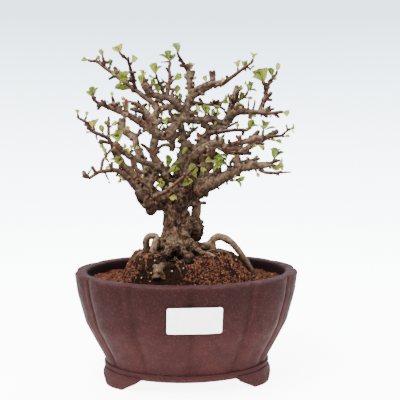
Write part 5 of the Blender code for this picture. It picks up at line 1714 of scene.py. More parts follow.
# Old roots that lie on the soil: across and up in the front view, radius, and share that stands clear
GROUND_ROOTS = (
    ((-17.5, 101, 3, 0.3), (-20, 97, 2.8, 0.4), (-20.2, 93, 2.4, 0.3), (-18.6, 89, 2.1, 0.1),
     (-16.5, 85.5, 1.8, -0.3)),
    ((-4, 100.5, 2.6, 0), (-1.4, 97, 3.2, 0.3), (0.4, 93.6, 3.8, 0.3), (1.6, 90, 3.6, 0.2),
     (1.4, 86.5, 2.6, -0.2)),
    ((1, 99, 2, 0.2), (4, 96, 2.4, 0.2), (4.6, 92, 2.4, 0.1), (3.6, 88, 1.8, -0.2)),
    ((-19.5, 88, 2, 0.3), (-21.4, 84.5, 3.2, 0.4), (-23.6, 81, 4.2, 0.4), (-24.6, 77.5, 4.6, 0.3),
     (-25, 74, 3.8, 0)),
    ((-28, 86, 1.2, 0.5), (-25, 84.6, 1.6, 1), (-21.6, 81.6, 1.6, 1.1), (-19.4, 77.6, 1.4, 0.8),
     (-19, 74, 1, 0.3)),
    ((-26, 81, 1.2, 1.4), (-25, 78, 1.5, 1.6), (-25.6, 75, 1.3, 1.2)),
    ((-15.4, 88.5, 2, -0.1), (-13.6, 86.4, 2.8, 0.1), (-11.8, 84, 2.6, 0), (-10.4, 81.8, 1.8, -0.4)),
    ((3, 100, 2.2, 0.2), (8, 99.4, 1.9, 0.5), (13, 97.4, 1.6, 0.5), (18, 96.6, 1.2, 0.4),
     (24, 94, 0.8, 0.2)),
    ((-32, 100, 1.4, 0.6), (-37, 98.2, 1.2, 0.6), (-42, 95, 1, 0.5), (-46, 90, 0.7, 0.2)),
)

# Crossing boughs, broken ends and swellings: across and up in the front view, and radius
CROSSING_BOUGHS = (
    ((-53.5, 212, 2.4), (-54.2, 207, 3.1), (-54.2, 203, 3), (-50.5, 200, 2.8), (-46.5, 198, 2.5),
     (-43.5, 195, 2.4), (-42.5, 190, 2.1), (-41.3, 184, 2), (-39.5, 178.5, 2.2)),
    ((-62, 187, 1.7), (-59.5, 181, 2), (-56, 175.5, 2.2), (-52, 170, 2.4), (-47.5, 165.5, 2.6),
     (-43, 161, 2.8)),
    ((-60, 192, 1.5), (-57, 187.5, 1.9), (-53.5, 184, 2), (-49.5, 181, 1.9), (-45, 178.5, 1.8),
     (-38, 175.5, 1.8)),
    ((-45, 177, 1.7), (-44, 172.5, 1.8), (-42, 169, 1.4), (-39.5, 166.8, 1.1), (-36, 165.8, 1)),
    ((-33, 171, 1.9), (-28, 166, 2.1), (-24, 161, 2.2), (-20, 157.5, 2), (-14, 154.5, 2)),
    ((-26, 172, 2.2), (-21, 167.5, 2.4), (-18, 163.5, 2.2), (-15.5, 160.5, 2), (-10, 158, 2.2)),
    ((-8, 213, 2.4), (-13, 210.5, 2), (-18, 209, 1.8), (-22.5, 209, 1.9), (-26.5, 206.5, 2.2)),
    ((-8, 224, 1.9), (-13, 222, 1.7), (-17, 220.5, 2), (-21.5, 219.5, 2.2), (-25.5, 216, 2), (-27, 211, 2),
     (-27, 206, 2.4)),
    ((-12, 223, 1), (-14, 217, 1.1), (-11.5, 213.5, 1.2), (-8, 210, 1.4)),
    ((-26, 227, 1.2), (-21, 225, 1.1), (-18, 221.5, 1.2)),
    ((-28, 209.5, 1.9), (-31.5, 214.5, 1.7), (-36, 219.5, 1.4), (-41, 222.5, 1.2), (-46, 224.5, 0.9)),
    ((-30, 211, 1.6), (-36, 216, 1.3), (-41, 218, 1.1), (-47, 219.6, 0.8)),
    ((-56.5, 215.5, 1.5), (-56, 219, 1.2), (-55.8, 221.8, 0.9)),
    ((-41, 152, 3.4), (-39.8, 146.5, 3.4), (-37.6, 141.5, 3), (-35, 137, 2.4)),
    ((-7, 200, 2), (-11.5, 194, 2), (-12, 188.5, 2.1), (-12.5, 184, 1.5)),
    ((-29, 180, 1), (-25, 184, 0.8), (-22, 188, 0.8), (-17, 189.6, 0.9), (-12, 188, 1.2)),
    ((-3, 187, 2.8), (-4.5, 180, 3), (-5, 174, 3.4), (-6, 168, 3.8), (-8, 163, 3.8), (-12, 159, 3.4)),
    ((-12, 153, 1.2), (-8, 157.5, 1), (-3, 161.5, 1), (3, 165, 0.9)),
    ((9, 150, 6), (18, 154, 4.6), (25, 157.5, 4), (31, 161, 3.8), (38, 164.8, 3.4), (46, 169, 3)),
    ((46, 171, 3), (42.5, 174, 2.5), (43, 178, 2.1), (42.3, 181, 1.2)),
    ((48, 173, 2.3), (54, 173.4, 2.1), (61, 172.4, 2.1), (65.5, 172.4, 2.1), (70, 173, 1.4)),
    ((38, 190, 1.2), (43, 190.6, 1.2), (48, 192, 1.5), (54, 193.4, 1.7), (58, 195, 1.8), (63, 195, 2)),
    ((53, 193, 1.2), (57, 197, 1.1), (61, 201, 1)),
    ((44.5, 191, 1), (45.4, 194, 0.9), (45, 197.2, 0.8)),
    ((12, 207, 1.7), (19, 204.5, 2.2), (24, 203.5, 2.6), (30, 202.8, 2.3), (34, 203, 1.6)),
    ((18, 205, 1.6), (19, 199.5, 1.7), (17.5, 195, 1.9), (14, 190, 2.4)),
    ((0.5, 193, 2.4), (3, 187, 3.1), (5, 181, 3.6), (4, 175, 4), (2, 168, 4.4)),
    ((22, 188, 2.5), (21.6, 181, 2.2), (21.4, 175.5, 2), (19.8, 170.5, 1.7)),
    ((12, 187, 2.6), (14.6, 180, 2.1), (15.2, 174, 2), (14.8, 168, 2.1), (12.5, 162, 2.6)),
    ((8, 160, 2), (16, 160.6, 1.5), (24, 162, 1.4), (31, 164.4, 1.5), (37, 166.5, 2)),
    ((9, 157, 3.4), (17, 156.3, 3), (23, 157.6, 2)),
    ((35, 209, 3), (38.5, 214.6, 2.8), (44, 217.4, 2.6), (50, 217.4, 2.2)),
    ((41, 219, 1.3), (44, 223, 1.1), (48.2, 221, 1)),
    ((65, 215, 1.5), (67, 218, 1.6), (69.6, 220.2, 1.4)),
    ((-57.5, 248.5, 1.4), (-58.7, 251.4, 1.2), (-59.8, 254, 1)),
    ((-29.5, 230.5, 2.5), (-33.5, 237, 2.5), (-36, 243, 2.2)),
    ((3, 246, 1.6), (5.2, 248.4, 1.3), (6, 251.2, 1.1)),
    ((6, 233, 2.8), (12, 236.5, 2.6), (18, 239.5, 2.3), (25, 241, 1.8), (31, 242, 1.5)),
    ((22, 240, 1.7), (22.4, 246, 1.3), (23.2, 251.2, 0.9)),
    ((21.6, 244, 1.2), (20.5, 248.6, 0.9), (19.8, 251, 0.8)),
    ((21, 240, 1.6), (25.4, 237.6, 1.1)),
    ((-80, 203.5, 1.2), (-83, 206, 1), (-85.2, 206.6, 0.8)),
)


class LimbSkin(NamedTuple):
    """How uneven a limb is: share of its girth, size of its lumps in millimetres, and the tube's sides."""

    lumps: float
    size: float
    sides: int


@dataclass(frozen=True)
class WoodShape:
    """Trunk, boughs and roots: the CAD's wood with spurs, lumps, cracks and a fine grain."""

    voxel: float = 0.5
    triangles: int = 192000
    smoothing: int = 5
    spurs: int = 560
    spur_lengths: tuple[float, ...] = (1.9, 2.4, 2.9, 3.6, 4.4, 5.4)
    lowest_spur: float = 150.0
    old_root: LimbSkin = LimbSkin(0.22, 4.5, 14)
    ground_root: LimbSkin = LimbSkin(0.5, 2.2, 12)
    crossing_bough: LimbSkin = LimbSkin(0.2, 3.2, 12)
    bough_girth: float = 1.08
    skin: float = 0.35
    swell: float = 0.66
    thickest: float = 60.0
    seed: int = 11

    @staticmethod
    def rest_on_wood(bough: Rows, viewpoint: Viewpoint, tree: BVHTree) -> Rows:
        """Gives each row of a bough the depth of the wood that the front view shows there.

        Args:
            bough: Rows of across, up and radius.
            viewpoint: Eye of the front view.
            tree: The CAD's wood.

        Returns:
            Rows of across, up, radius and depth, with the gaps bridged.
        """
        eye = viewpoint.eye_point()
        seen: list[tuple[int, float]] = []
        for index, (across, up, radius) in enumerate(bough):
            way = viewpoint.place(across, up) - eye
            hit = tree.ray_cast(eye * MM, way.normalized())
            if hit[0] is None:
                continue
            depth = (hit[3] / MM / way.length - 1) * -viewpoint.eye[1] + 0.55 * radius
            if not seen or abs(depth - seen[-1][1]) < 9:
                seen.append((index, depth))
        steps, depths = zip(*(seen or [(0, 0.0)]))
        return tuple((*row, float(np.interp(index, steps, depths))) for index, row in enumerate(bough))

    def add_limbs(self, shells: Shells, tree: BVHTree) -> None:
        """Adds the old roots, the roots on the soil and the crossing boughs.

        Args:
            shells: Where the tubes go.
            tree: The CAD's wood.
        """
        viewpoint, soil = Viewpoint(), SoilShape()

        def add(radii: np.ndarray, line: list[Vector], skin: LimbSkin) -> None:
            """Adds one limb, uneven by noise."""
            shells.tube(line, [radius * (1 + skin.lumps * noise.noise(place / skin.size))
                               for radius, place in zip(radii, line)], skin.sides)

        for root in OLD_ROOTS:
            rows = smooth_line(root, 6)
            line = [viewpoint.place(across, up, depth) for across, up, _, depth in rows]
            add(rows[:, 2], line, self.old_root)
        for root in GROUND_ROOTS:
            rows = smooth_line(root, 6)
            line = [viewpoint.on_ground(across, up, soil, radius * clear)
                    for across, up, radius, clear in rows]
            add(rows[:, 2], line, self.ground_root)
        for bough in CROSSING_BOUGHS:
            rows = smooth_line(self.rest_on_wood(bough, viewpoint, tree), 5)
            line = [viewpoint.place(across, up, depth) for across, up, _, depth in rows]
            add(self.bough_girth * rows[:, 2], line, self.crossing_bough)

    def add_spurs(self, shells: Shells, mesh: Mesh, tree: BVHTree) -> None:
        """Adds short knobs and spurs, most of them on the thinner boughs.

        Args:
            shells: Where the tubes go.
            mesh: The CAD's wood, merged.
            tree: Its surface.
        """
        draw = random.Random(self.seed)
        faces = [face for face in mesh.polygons if face.center.z >= self.lowest_spur * MM]
        weights = [face.area * (1 if depth_under(tree, face.center, face.normal) < 9 else 0.25)
                   for face in faces]
        for face in draw.choices(faces, weights, k=self.spurs):
            normal = face.normal.copy()
            way = (normal + Vector((0, 0, 0.4)) + jitter(draw, 0.45)).normalized()
            start = face.center / MM - normal * 1.0
            length = draw.choice(self.spur_lengths) * draw.uniform(0.85, 1.15)
            radius = draw.uniform(0.75, 1.15)
            bend = jitter(draw, 0.3) + Vector((0, 0, 0.25))
            middle = start + way * length * 0.6
            end = middle + (way + bend).normalized() * length * 0.5
            radii = [radius * share for share in (1.4, 1.1, 0.9, 0.85)]
            shells.tube([start, start + way * 0.8, middle, end], radii, 7)

    @staticmethod
    def join(mesh: Mesh, shells: Shells) -> None:
        """Joins tubes to a mesh.

        Args:
            mesh: The wood.
            shells: The tubes.
        """
        bm = bmesh.new()
        bm.from_mesh(mesh)
        verts = [bm.verts.new(place * MM) for place in shells.points]
        for face in shells.faces:
            bm.faces.new([verts[i] for i in face])
        bmesh.ops.recalc_face_normals(bm, faces=bm.faces)
        bm.to_mesh(mesh)
        bm.free()

    def girths(self, points: np.ndarray, normals: np.ndarray, tree: BVHTree) -> np.ndarray:
        """Thickness of the wood under each point.

        Args:
            points: Places on the wood.
            normals: Its normals there.
            tree: Its surface.

        Returns:
            The thicknesses in millimetres.
        """
        result = np.full(len(points), self.thickest)
        for index, (place, normal) in enumerate(zip(points, normals)):
            inward = Vector(-normal)
            hit = tree.ray_cast((Vector(place) + inward * self.skin) * MM, inward, self.thickest * MM)
            if hit[0] is not None:
                result[index] = hit[3] / MM + self.skin
        return result

    @staticmethod
    def relief(place: Vector, girth: float) -> tuple[float, float]:
        """How the bark lies at a place, by noise: cracked and scaly where it is thick, knotty where thin.

        Args:
            place: Place on the wood.
            girth: Thickness of the wood there.

        Returns:
            How far the bark stands out, in millimetres, and how deep in a crevice it is.
        """
        old = unit((girth - 6) / 8)
        young = 1 - old
        lumps = noise.noise(place / 9) * 1.2 + noise.noise(place / 3.8 + Vector((3, 1, 7))) * 0.55
        stretched = Vector((place.x / 2.3, place.y / 2.3, place.z / 5.5))
        warp = Vector((noise.noise(place / 4), noise.noise(place / 4 + Vector((9, 4, 2))), 0))
        crack = max(0.0, 1 - abs(noise.noise(stretched + warp * 0.9)) * 5.5)
        pits = max(0.0, noise.noise(place / 4.2 + Vector((5, 8, 1))) - 0.3) * 3
        scales = noise.noise(place / 1.7 + Vector((1, 6, 3))) * 0.36 + noise.noise(place / 0.95) * 0.2
        fine = noise.noise(place / 1.3) * 0.14
        knots = noise.noise(place / 4.6 + Vector((7, 7, 7))) * 0.38 * min(girth / 5, 1)
        bumps = knots + noise.noise(place / 2.2) * 0.26
        out = old * (lumps + scales - 0.75 * crack - 0.9 * pits) + fine + young * bumps
        return out, min(1.0, old * (crack + pits * 0.9) + young * max(0.0, -knots - 0.08) * 1.2)

    @staticmethod
    def darken(points: np.ndarray, girth: np.ndarray, crease: np.ndarray) -> np.ndarray:
        """Deepens the crevices as painted shade, with the damp foot, the soil stain and painted shadow under
        the flare at its front, and painted shade inside the crown.

        Args:
            points: Places on the wood.
            girth: Thickness of the wood there.
            crease: How deep in a crevice each is.

        Returns:
            How dark each place is, from 0 to 1.
        """
        x, y, z = points.T
        damp = np.array([max(0.0, noise.noise(Vector(place) / 5 + Vector((2, 2, 2)))) for place in points])
        # Soil stain and painted shadow on the roots under the flare.
        stain_and_shadow = ramp(z, 110.5, 107.0) * ramp(y, -11, -16) * ramp(x, 14, 10)
        low = ramp(z, 114, 104) * ramp(girth, 8, 18)
        inside = ((points - np.array([0.0, 0.0, 174.0])) ** 2 / np.array([26.0, 22.0, 26.0]) ** 2).sum(1)
        return np.clip(crease + low * damp * 1.3 + stain_and_shadow * (0.86 - 1.1 * damp) + 0.34 * np.exp(-inside), 0, 1)

    def wrinkle(self, wood: Object) -> None:
        """Smooths the wood, raises its bark and keeps what the finish reads.

        Args:
            wood: The wood, as voxels leave it.
        """
        mesh = wood.data
        edges = edges_of(mesh)
        points = relax(points_of(mesh), edges, self.smoothing)
        move_points(mesh, points)
        normals = normals_of(mesh)
        x, y, z = points.T
        foot = ramp(z, 132, 126) * ramp(x, 17, 13)
        girth = self.girths(points, normals, surface_tree(wood))
        girth = spread(np.maximum(girth, 20 * foot * ramp(x, -25, -22)), edges, 16)
        moves, crease = np.array([self.relief(Vector(place), thick) for place, thick in zip(points, girth)]).T
        root = ramp(z, 124, 120) * np.maximum(ramp(x, -22.5, -25.5) * ramp(z, 101, 105), ramp(x, 15, 19))
        root *= 1 - np.minimum(ramp(x, 42, 52), 0.85)
        fuller = ramp(girth, 11, 5) * (0.8 + 0.2 * ramp(girth, 2, 5))
        moves = np.where(root > 0.5, moves * 0.45, moves) + self.swell * fuller
        move_points(mesh, points + normals * moves[:, None])
        bleached = np.exp(-((x + 25) / 8) ** 4 - ((y + 41) / 9) ** 4)
        store(mesh, "girth", girth)
        # Crevices darkened as painted shade.
        store(mesh, "crease", self.darken(points, girth, crease) * (1 - 0.6 * bleached))
        store(mesh, "root", np.maximum(root, bleached))
        # Painted shade: darker where the wood faces down.
        store(mesh, "under", np.clip(0.12 - normals[:, 2] * 1.2, 0, 1))
        # Share of weathering and painted light: more where the wood faces up and to the left.
        store(mesh, "over", np.clip(normals[:, 2] * 1.1 - normals[:, 0] * 0.3 - 0.05, 0, 1))

    def build(self, material: Material) -> Object:
        """The wood as one dense piece, with its girth and crevices kept on it.

        Args:
            material: The bark.

        Returns:
            The piece.
        """
        wood = merged_copy("wood")
        tree, shells = surface_tree(wood), Shells()
        self.add_limbs(shells, tree)
        self.add_spurs(shells, wood.data, tree)
        self.join(wood.data, shells)
        step = wood.modifiers.new("voxels", "REMESH")
        step.mode, step.voxel_size, step.use_smooth_shade = "VOXEL", self.voxel * MM, True
        bake(wood)
        self.wrinkle(wood)
        step = wood.modifiers.new("thin", "DECIMATE")
        step.ratio = min(1.0, self.triangles / (2 * len(wood.data.polygons)))
        step.use_collapse_triangulate = True
        bake(wood)
        wood.name = wood.data.name = "bark"
        shade(wood.data)
        return dress(wood, material, ("wood",))


# Leaves


class Leafage(Enum):
    """Full-grown and young leaves, each with its record slot."""

    GREEN = "leaf_green"
    YOUNG = "leaf_young"


@dataclass(frozen=True)
class BladeForm:
    """A closed leaf or petal that lies along X, with its upper face to +Z; lengths are shares of its own."""

    stations: tuple[float, ...] = (0.0, 0.1, 0.23, 0.38, 0.54, 0.71, 0.86, 0.96)
    halves: tuple[float, ...] = (0.05, 0.07, 0.19, 0.34, 0.46, 0.50, 0.40, 0.20)
    arch: float = 0.08
    fold: float = 0.35
    cup: float = 0.0
    twist: float = 0.0
    thick: float = 0.014
    ruffle: float = 0.0
    teeth: float = 0.04
    columns: int = 5

    def surface(self, along: float, across: float, half: float) -> tuple[float, float]:
        """Place of the blade's middle layer.

        Args:
            along: Share of its length.
            across: Share of its half-width, negative on one side.
            half: Its half-width there.

        Returns:
            How far it is to the side, and how high.
        """
        side = across * half
        lift = self.arch * 4 * along * (1 - along) + self.fold * abs(side) + self.cup * side * side
        lift += self.ruffle * math.sin(7 * along + 4 * across) * along * abs(across)
        turn = self.twist * along
        return side * math.cos(turn) - lift * math.sin(turn), side * math.sin(turn) + lift * math.cos(turn)

    def shell(self) -> tuple[np.ndarray, list[Face], np.ndarray, np.ndarray]:
        """The blade's two layers, joined at their edges and its tip.

        Returns:
            Points, faces, and how far along and across each point is.
        """
        steps = np.linspace(-1, 1, self.columns)
        loop = [(step, 1) for step in steps] + [(step, -1) for step in steps[-2:0:-1]]
        points, alongs, acrosses = [], [], []
        for row, (along, half) in enumerate(zip(self.stations, self.halves)):
            for across, layer in loop:
                edge = abs(across) > 0.99
                wide = half * (1 + (self.teeth if row % 2 else -self.teeth)) if edge else half
                y, z = self.surface(along, across, wide)
                points.append((along, y, z + layer * (0 if edge else self.thick)))
                alongs.append(along)
                acrosses.append(abs(across))
        count = len(loop)
        last = len(points) - count
        points.append((1.0, 0.0, self.surface(1.0, 0.0, 0.0)[1]))
        faces = grid_faces(len(self.stations), count) + [tuple(range(count))]
        faces += [(last + k, last + (k + 1) % count, last + count) for k in range(count)]
        return np.array(points), faces, np.array(alongs + [1.0]), np.array(acrosses + [0.0])

    def build(self, name: str) -> Object:
        """The blade as a helper object, a millimetre long.

        Args:
            name: Name of the helper.

        Returns:
            The helper.
        """
        points, faces, alongs, acrosses = self.shell()
        obj = closed_object(name, points, faces)
        store(obj.data, "along", alongs)
        store(obj.data, "across", acrosses)
        return obj


LEAF_FORMS = (
    BladeForm(arch=0.08, fold=0.34, twist=0.10, teeth=0.06),
    BladeForm(arch=0.14, fold=0.48, twist=-0.16, teeth=0.05),
    BladeForm(arch=-0.06, fold=0.60, twist=0.12, halves=(0.05, 0.06, 0.15, 0.30, 0.44, 0.50, 0.43, 0.23),
              teeth=0.06),
    BladeForm(arch=0.05, fold=0.28, twist=-0.10, halves=(0.05, 0.08, 0.23, 0.38, 0.48, 0.49, 0.37, 0.18),
              teeth=0.05),
    BladeForm(arch=0.18, fold=0.40, twist=0.06, teeth=0.06),
    BladeForm(arch=-0.12, fold=0.75, twist=-0.12, halves=(0.06, 0.08, 0.20, 0.36, 0.47, 0.50, 0.38, 0.19),
              teeth=0.05),
)


class Blade(NamedTuple):
    """A leaf found in the CAD: its foot, tip, the way across it, and its width."""

    foot: Vector
    tip: Vector
    across: Vector
    width: float


class TuftSpot(NamedTuple):
    """A tuft in the front view: across, up, lean and the length of its leaves."""

    across: float
    up: float
    lean: float
    length: float


# Tufts of the front view past the CAD's: across, up, lean in degrees, and length of the leaves
EXTRA_TUFTS = (
    (-72, 259, -25, 6), (-64, 254, 10, 7), (-58, 247, -75, 4.5), (-46, 236, -80, 12), (-42, 243, -30, 6),
    (-37, 239, -10, 7), (-29, 237, 15, 7), (-23, 232, -20, 8), (-27, 245, -60, 4), (-11, 243, 55, 10),
    (-9, 231, 15, 7), (-4, 226, -15, 7), (17.3, 241, -20, 6), (29.5, 241, 20, 5), (49.5, 252, 0, 7),
    (52, 251, 45, 4), (21.8, 224.5, 10, 3.5), (20, 223, 110, 6), (10, 213, -30, 7), (21, 213, 15, 7),
    (25, 213, 40, 5), (36, 224, -60, 6), (43, 235, 45, 5), (44, 225, 20, 8), (50, 229, 95, 5),
    (72, 246, -15, 7), (63, 214, 20, 6), (43, 203, 0, 5), (70, 194, 95, 5), (60, 190, 120, 6),
    (59, 167.5, 150, 5), (35, 159, 200, 4), (14, 163, 5, 9), (9, 161, -35, 9), (1, 168, 55, 8),
    (-4, 155.5, 60, 9), (6, 164, 20, 8), (-22.5, 154, 0, 5), (-14.8, 145.6, 80, 6), (22, 166, 30, 8),
    (28, 169, 15, 9), (-8, 177, 15, 7), (-16, 166, 60, 9), (-13, 152, 0, 5), (-17, 145.5, 90, 6),
    (-66, 176, -50, 4), (-80, 200.5, -95, 4), (-66, 205, -20, 5), (-65, 204, 60, 6), (-62, 229, 0, 5),
    (-50, 226, -50, 5), (-31, 219, 0, 5), (-43, 219, 0, 3), (-34, 210, -40, 5), (-31, 199, -35, 5),
    (-48, 181, -20, 5), (-6, 193, -20, 5), (-70, 199, -15, 6.5), (-84, 212.5, 15, 5), (-79.5, 203.5, 10, 6),
    (-48, 200.5, -15, 5), (-59, 190, 10, 8.5), (-54, 185, 40, 5), (-46, 185, -10, 4), (-68, 181, -10, 6),
    (-21, 212, 10, 5), (-4, 181, 30, 7), (-13, 167, 70, 7), (-23, 154, 0, 6), (9, 216, 10, 6),
    (19, 214.5, -10, 6), (25, 214, 10, 4), (36, 227, -10, 5), (44, 226, 25, 7), (54, 202, 5, 6.5),
    (72, 194, 100, 6), (82, 196.5, 80, 5), (55, 187, 60, 4), (71, 170, 95, 7), (26, 174, -10, 8),
)


class Crown:
    """Every leaf of the bonsai, and the twigs that carry them; sizes in millimetres."""

    seed: int = 23
    box_margin: float = 0.3
    lowest_back: float = 158.0
    thickest_back: float = 6.0
    back_gap: float = 8.5
    lowest_twiglet: float = 165.0
    thickest_twiglet: float = 7.2
    twiglet_margin: float = 4.0

    def __init__(self, frame: dict, viewpoint: Viewpoint) -> None:
        """Takes the CAD's tufts and the wood that they stand on.

        Args:
            frame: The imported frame.
            viewpoint: Eye of the front view.
        """
        self.viewpoint = viewpoint
        self.draw = random.Random(self.seed)
        self.wood = merged_copy("wood")
        self.tree = surface_tree(self.wood)
        slots = {row["node"]: row["material_slot"] for row in frame["record"]["subparts"]}
        self.tufts = {kind: sorted(n for n, s in slots.items() if s == kind.value) for kind in Leafage}
        self.leaves: dict[Leafage, list[Placement]] = {kind: [] for kind in Leafage}
        self.feet: list[Vector] = []
        self.twigs = Shells()
        self.low, self.high = (Vector(corner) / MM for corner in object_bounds())

    def nearest_wood(self, place: Vector) -> tuple[Vector, float]:
        """Nearest point of the wood, and how far it is, in millimetres."""
        spot, _, _, distance = self.tree.find_nearest(place * MM)
        return spot / MM, distance / MM

    def fits(self, place: Vector, margin: float) -> bool:
        """Whether a place keeps a margin from the sides of the CAD's box."""
        return all(low + margin < value < high - margin
                   for value, low, high in zip(place, self.low, self.high))

    def near_tint(self, tint: float) -> float:
        """A leaf's own tint, near that of its tuft."""
        return unit(tint + self.draw.gauss(0, 0.14))

    def fit_blades(self, node: str) -> tuple[Vector, Vector, list[Blade]]:
        """Finds the blades of a CAD tuft.

        Args:
            node: Name of the tuft.

        Returns:
            The tuft's foot, its axis and its blades.
        """
        tuft = merged_copy(node)
        points, edges = points_of(tuft.data), edges_of(tuft.data)
        drop_object(tuft)
        gaps = [self.nearest_wood(Vector(place))[1] for place in points]
        foot = points[np.argsort(gaps, kind="stable")[:5]].mean(0)
        reach = np.linalg.norm(points - foot, axis=1)
        far = reach > min(2.5, 0.36 * reach.max())
        blades = []
        for part in self.connected(edges, far):
            if len(part) < 5:
                continue
            spots = points[part]
            tip = spots[np.argmax(np.linalg.norm(spots - foot, axis=1))]
            way = (tip - foot) / np.linalg.norm(tip - foot)
            off = spots - foot - np.outer((spots - foot) @ way, way)
            off = off - off.mean(0)
            across = np.linalg.svd(off, full_matrices=False)[2][0]
            width = np.ptp(off @ across)
            blades.append(Blade(Vector(foot), Vector(tip), Vector(across), float(width)))
        return Vector(foot), Vector(points.mean(0) - foot).normalized(), blades

    @staticmethod
    def connected(edges: np.ndarray, wanted: np.ndarray) -> list[list[int]]:
        """Groups of wanted points that edges join.

        Args:
            edges: Pairs of vertex indices.
            wanted: Whether each point is wanted.

        Returns:
            The indices of each group.
        """
        group = {int(i): int(i) for i in np.flatnonzero(wanted)}

        def root(i: int) -> int:
            """The point that stands for a group.

            Args:
                i: Any point of the group.

            Returns:
                The point's index.
            """
            while group[i] != i:
                group[i] = group[group[i]]
                i = group[i]
            return i

        for a, b in edges:
            if wanted[a] and wanted[b]:
                group[root(int(a))] = root(int(b))
        parts: dict[int, list[int]] = {}
        for i in group:
            parts.setdefault(root(i), []).append(i)
        return list(parts.values())

    def add_leaf(self, kind: Leafage, foot: Vector, way: Vector, across: Vector, axis: Vector,
                 length: float, width: float, tint: float) -> None:
        """Adds one leaf whose upper face looks towards the tuft's axis, unless it leaves the CAD's box.

        Args:
            kind: Kind of leaf.
            foot: Its foot.
            way: The way to its tip.
            across: A way across it.
            axis: The tuft's axis.
            length: Its length.
            width: Its width.
            tint: Its tint, from 0 to 1.
        """
        way = way.normalized()
        across = (across - way * across.dot(way)).normalized()
        upper = way.cross(across)
        if upper.dot(axis) < 0:
            across, upper = -across, -upper
        if self.fits(foot + way * length, self.box_margin):
            turn = Matrix((way, across, upper)).transposed()
            form = self.draw.randrange(len(LEAF_FORMS))
            self.leaves[kind].append(Placement(foot, turn, (length, width, length), form, tint))

    def add_spur(self, foot: Vector, axis: Vector, wide: float = 1.0) -> None:
        """Adds the swollen end of a twig under a tuft."""
        line = [foot + axis * along for along in (-1.0, -0.2, 0.6, 1.3)]
        self.twigs.tube(line, [radius * wide for radius in (1.1, 1.05, 0.8, 0.45)], 8)

    def add_twig(self, start: Vector, end: Vector, radii: tuple[float, float] = (0.95, 0.75)) -> None:
        """Adds a thin, slightly bowed and knotty twig.

        Args:
            start: Where it leaves the wood.
            end: Its tip.
            radii: Its radius at both.
        """
        bow = jitter(self.draw, 0.14) * (end - start).length
        steps, knots = 8, (2, 5)
        line, widths = [], []
        for step in range(steps + 1):
            share = step / steps
            line.append(start.lerp(end, share) + bow * 4 * share * (1 - share))
            widths.append((radii[0] + (radii[1] - radii[0]) * share) * (1.22 if step in knots else 1.0))
        self.twigs.tube(line, widths, 7)

    def fill_tuft(self, kind: Leafage, foot: Vector, axis: Vector, length: float, count: int,
                  tint: float, tilts: tuple[float, float]) -> None:
        """Adds leaves in a whorl about a tuft's axis.

        Args:
            kind: Kind of leaf.
            foot: The tuft's foot.
            axis: The tuft's axis.
            length: Length of its longest leaf.
            count: How many leaves it has.
            tint: Their mean tint.
            tilts: Least and greatest tilt from the axis, in degrees.
        """
        side = axis.orthogonal().normalized()
        start = self.draw.uniform(0, FULL_TURN)
        for k in range(count):
            turn = start + FULL_TURN * (k * 0.382) + self.draw.uniform(-0.25, 0.25)
            out = Matrix.Rotation(turn, 3, axis) @ side
            tilt = math.radians(self.draw.uniform(*tilts))
            way = axis * math.cos(tilt) + out * math.sin(tilt)
            grown = length * self.draw.uniform(0.62, 1.0)
            width = grown * self.draw.uniform(0.46, 0.64)
            self.add_leaf(kind, foot + axis * 0.3, way, axis.cross(out), axis, grown, width,
                          self.near_tint(tint))

    def dress_cad_tufts(self) -> None:
        """Fits a leaf to every CAD blade, and adds smaller ones between them."""
        for kind, nodes in self.tufts.items():
            for node in nodes:
                foot, axis, blades = self.fit_blades(node)
                tint = self.draw.uniform(0.15, 0.85)
                longest = 0.0
                for blade in blades:
                    way = blade.tip - blade.foot
                    length = way.length
                    longest = max(longest, length)
                    self.add_leaf(kind, blade.foot, way, blade.across, axis, length * 0.99,
                                  min(blade.width, length * 0.64), self.near_tint(tint))
                count = self.draw.choice((4, 5, 5, 6))
                self.fill_tuft(kind, foot, axis, longest * 0.88, count, tint, (4, 32))
                self.add_spur(foot, axis)
                self.feet.append(foot)

    def nearest_twig(self, spot: TuftSpot) -> tuple[Vector, Vector, float]:
        """Where the eye's line through a spot of the front view comes nearest to the wood.

        Args:
            spot: The spot.

        Returns:
            The place on the line, the wood's point, and the gap between them.
        """
        best = None
        for step in range(-40, 41):
            place = self.viewpoint.place(spot.across, spot.up, step * 1.5)
            wood, gap = self.nearest_wood(place)
            if best is None or gap < best[2]:
                best = (place, wood, gap)
        return best

    def front_of_wood(self, spot: TuftSpot, dressed: BVHTree) -> Vector | None:
        """Where the eye's line through a spot meets the dressed wood.

        Args:
            spot: The spot.
            dressed: The wood as it shows.

        Returns:
            The place, or None past the wood's outline.
        """
        eye = self.viewpoint.eye_point()
        way = (self.viewpoint.place(spot.across, spot.up) - eye).normalized()
        hit = dressed.ray_cast(eye * MM, way)
        return None if hit[0] is None else hit[0] / MM

    def dress_extra_tufts(self, dressed: BVHTree) -> None:
        """Adds the tufts of the front view that the CAD leaves out.

        Args:
            dressed: The wood as it shows.
        """
        for row in EXTRA_TUFTS:
            spot = TuftSpot(*row)
            place, wood, gap = self.nearest_twig(spot)
            toward = self.draw.uniform(-0.35, 0.35)
            front = self.front_of_wood(spot, dressed)
            if front is not None:
                place, wood, gap, toward = front, front, 0.0, toward - 0.4
            axis = self.viewpoint.lean(spot.lean, toward)
            if any((place - foot).length < 3.0 for foot in self.feet):
                place = place + axis * 2.0
            if gap > 1.2:
                self.add_twig(wood, place)
            self.add_spur(place, axis, 0.85)
            kind = Leafage.YOUNG if spot.length < 7 else Leafage.GREEN
            self.fill_tuft(kind, place, axis, spot.length * 1.2, self.draw.choice((4, 5, 5)),
                           self.draw.uniform(0.1, 0.85), (4, 28))
            self.feet.append(place)

    def hidden(self, place: Vector) -> bool:
        """Whether wood stands between the eye and a place.

        Args:
            place: The place, in millimetres.

        Returns:
            True where it does.
        """
        way = self.viewpoint.eye_point() - place
        ahead = way.normalized()
        return self.tree.ray_cast((place + ahead * 1.5) * MM, ahead, way.length * MM)[0] is not None

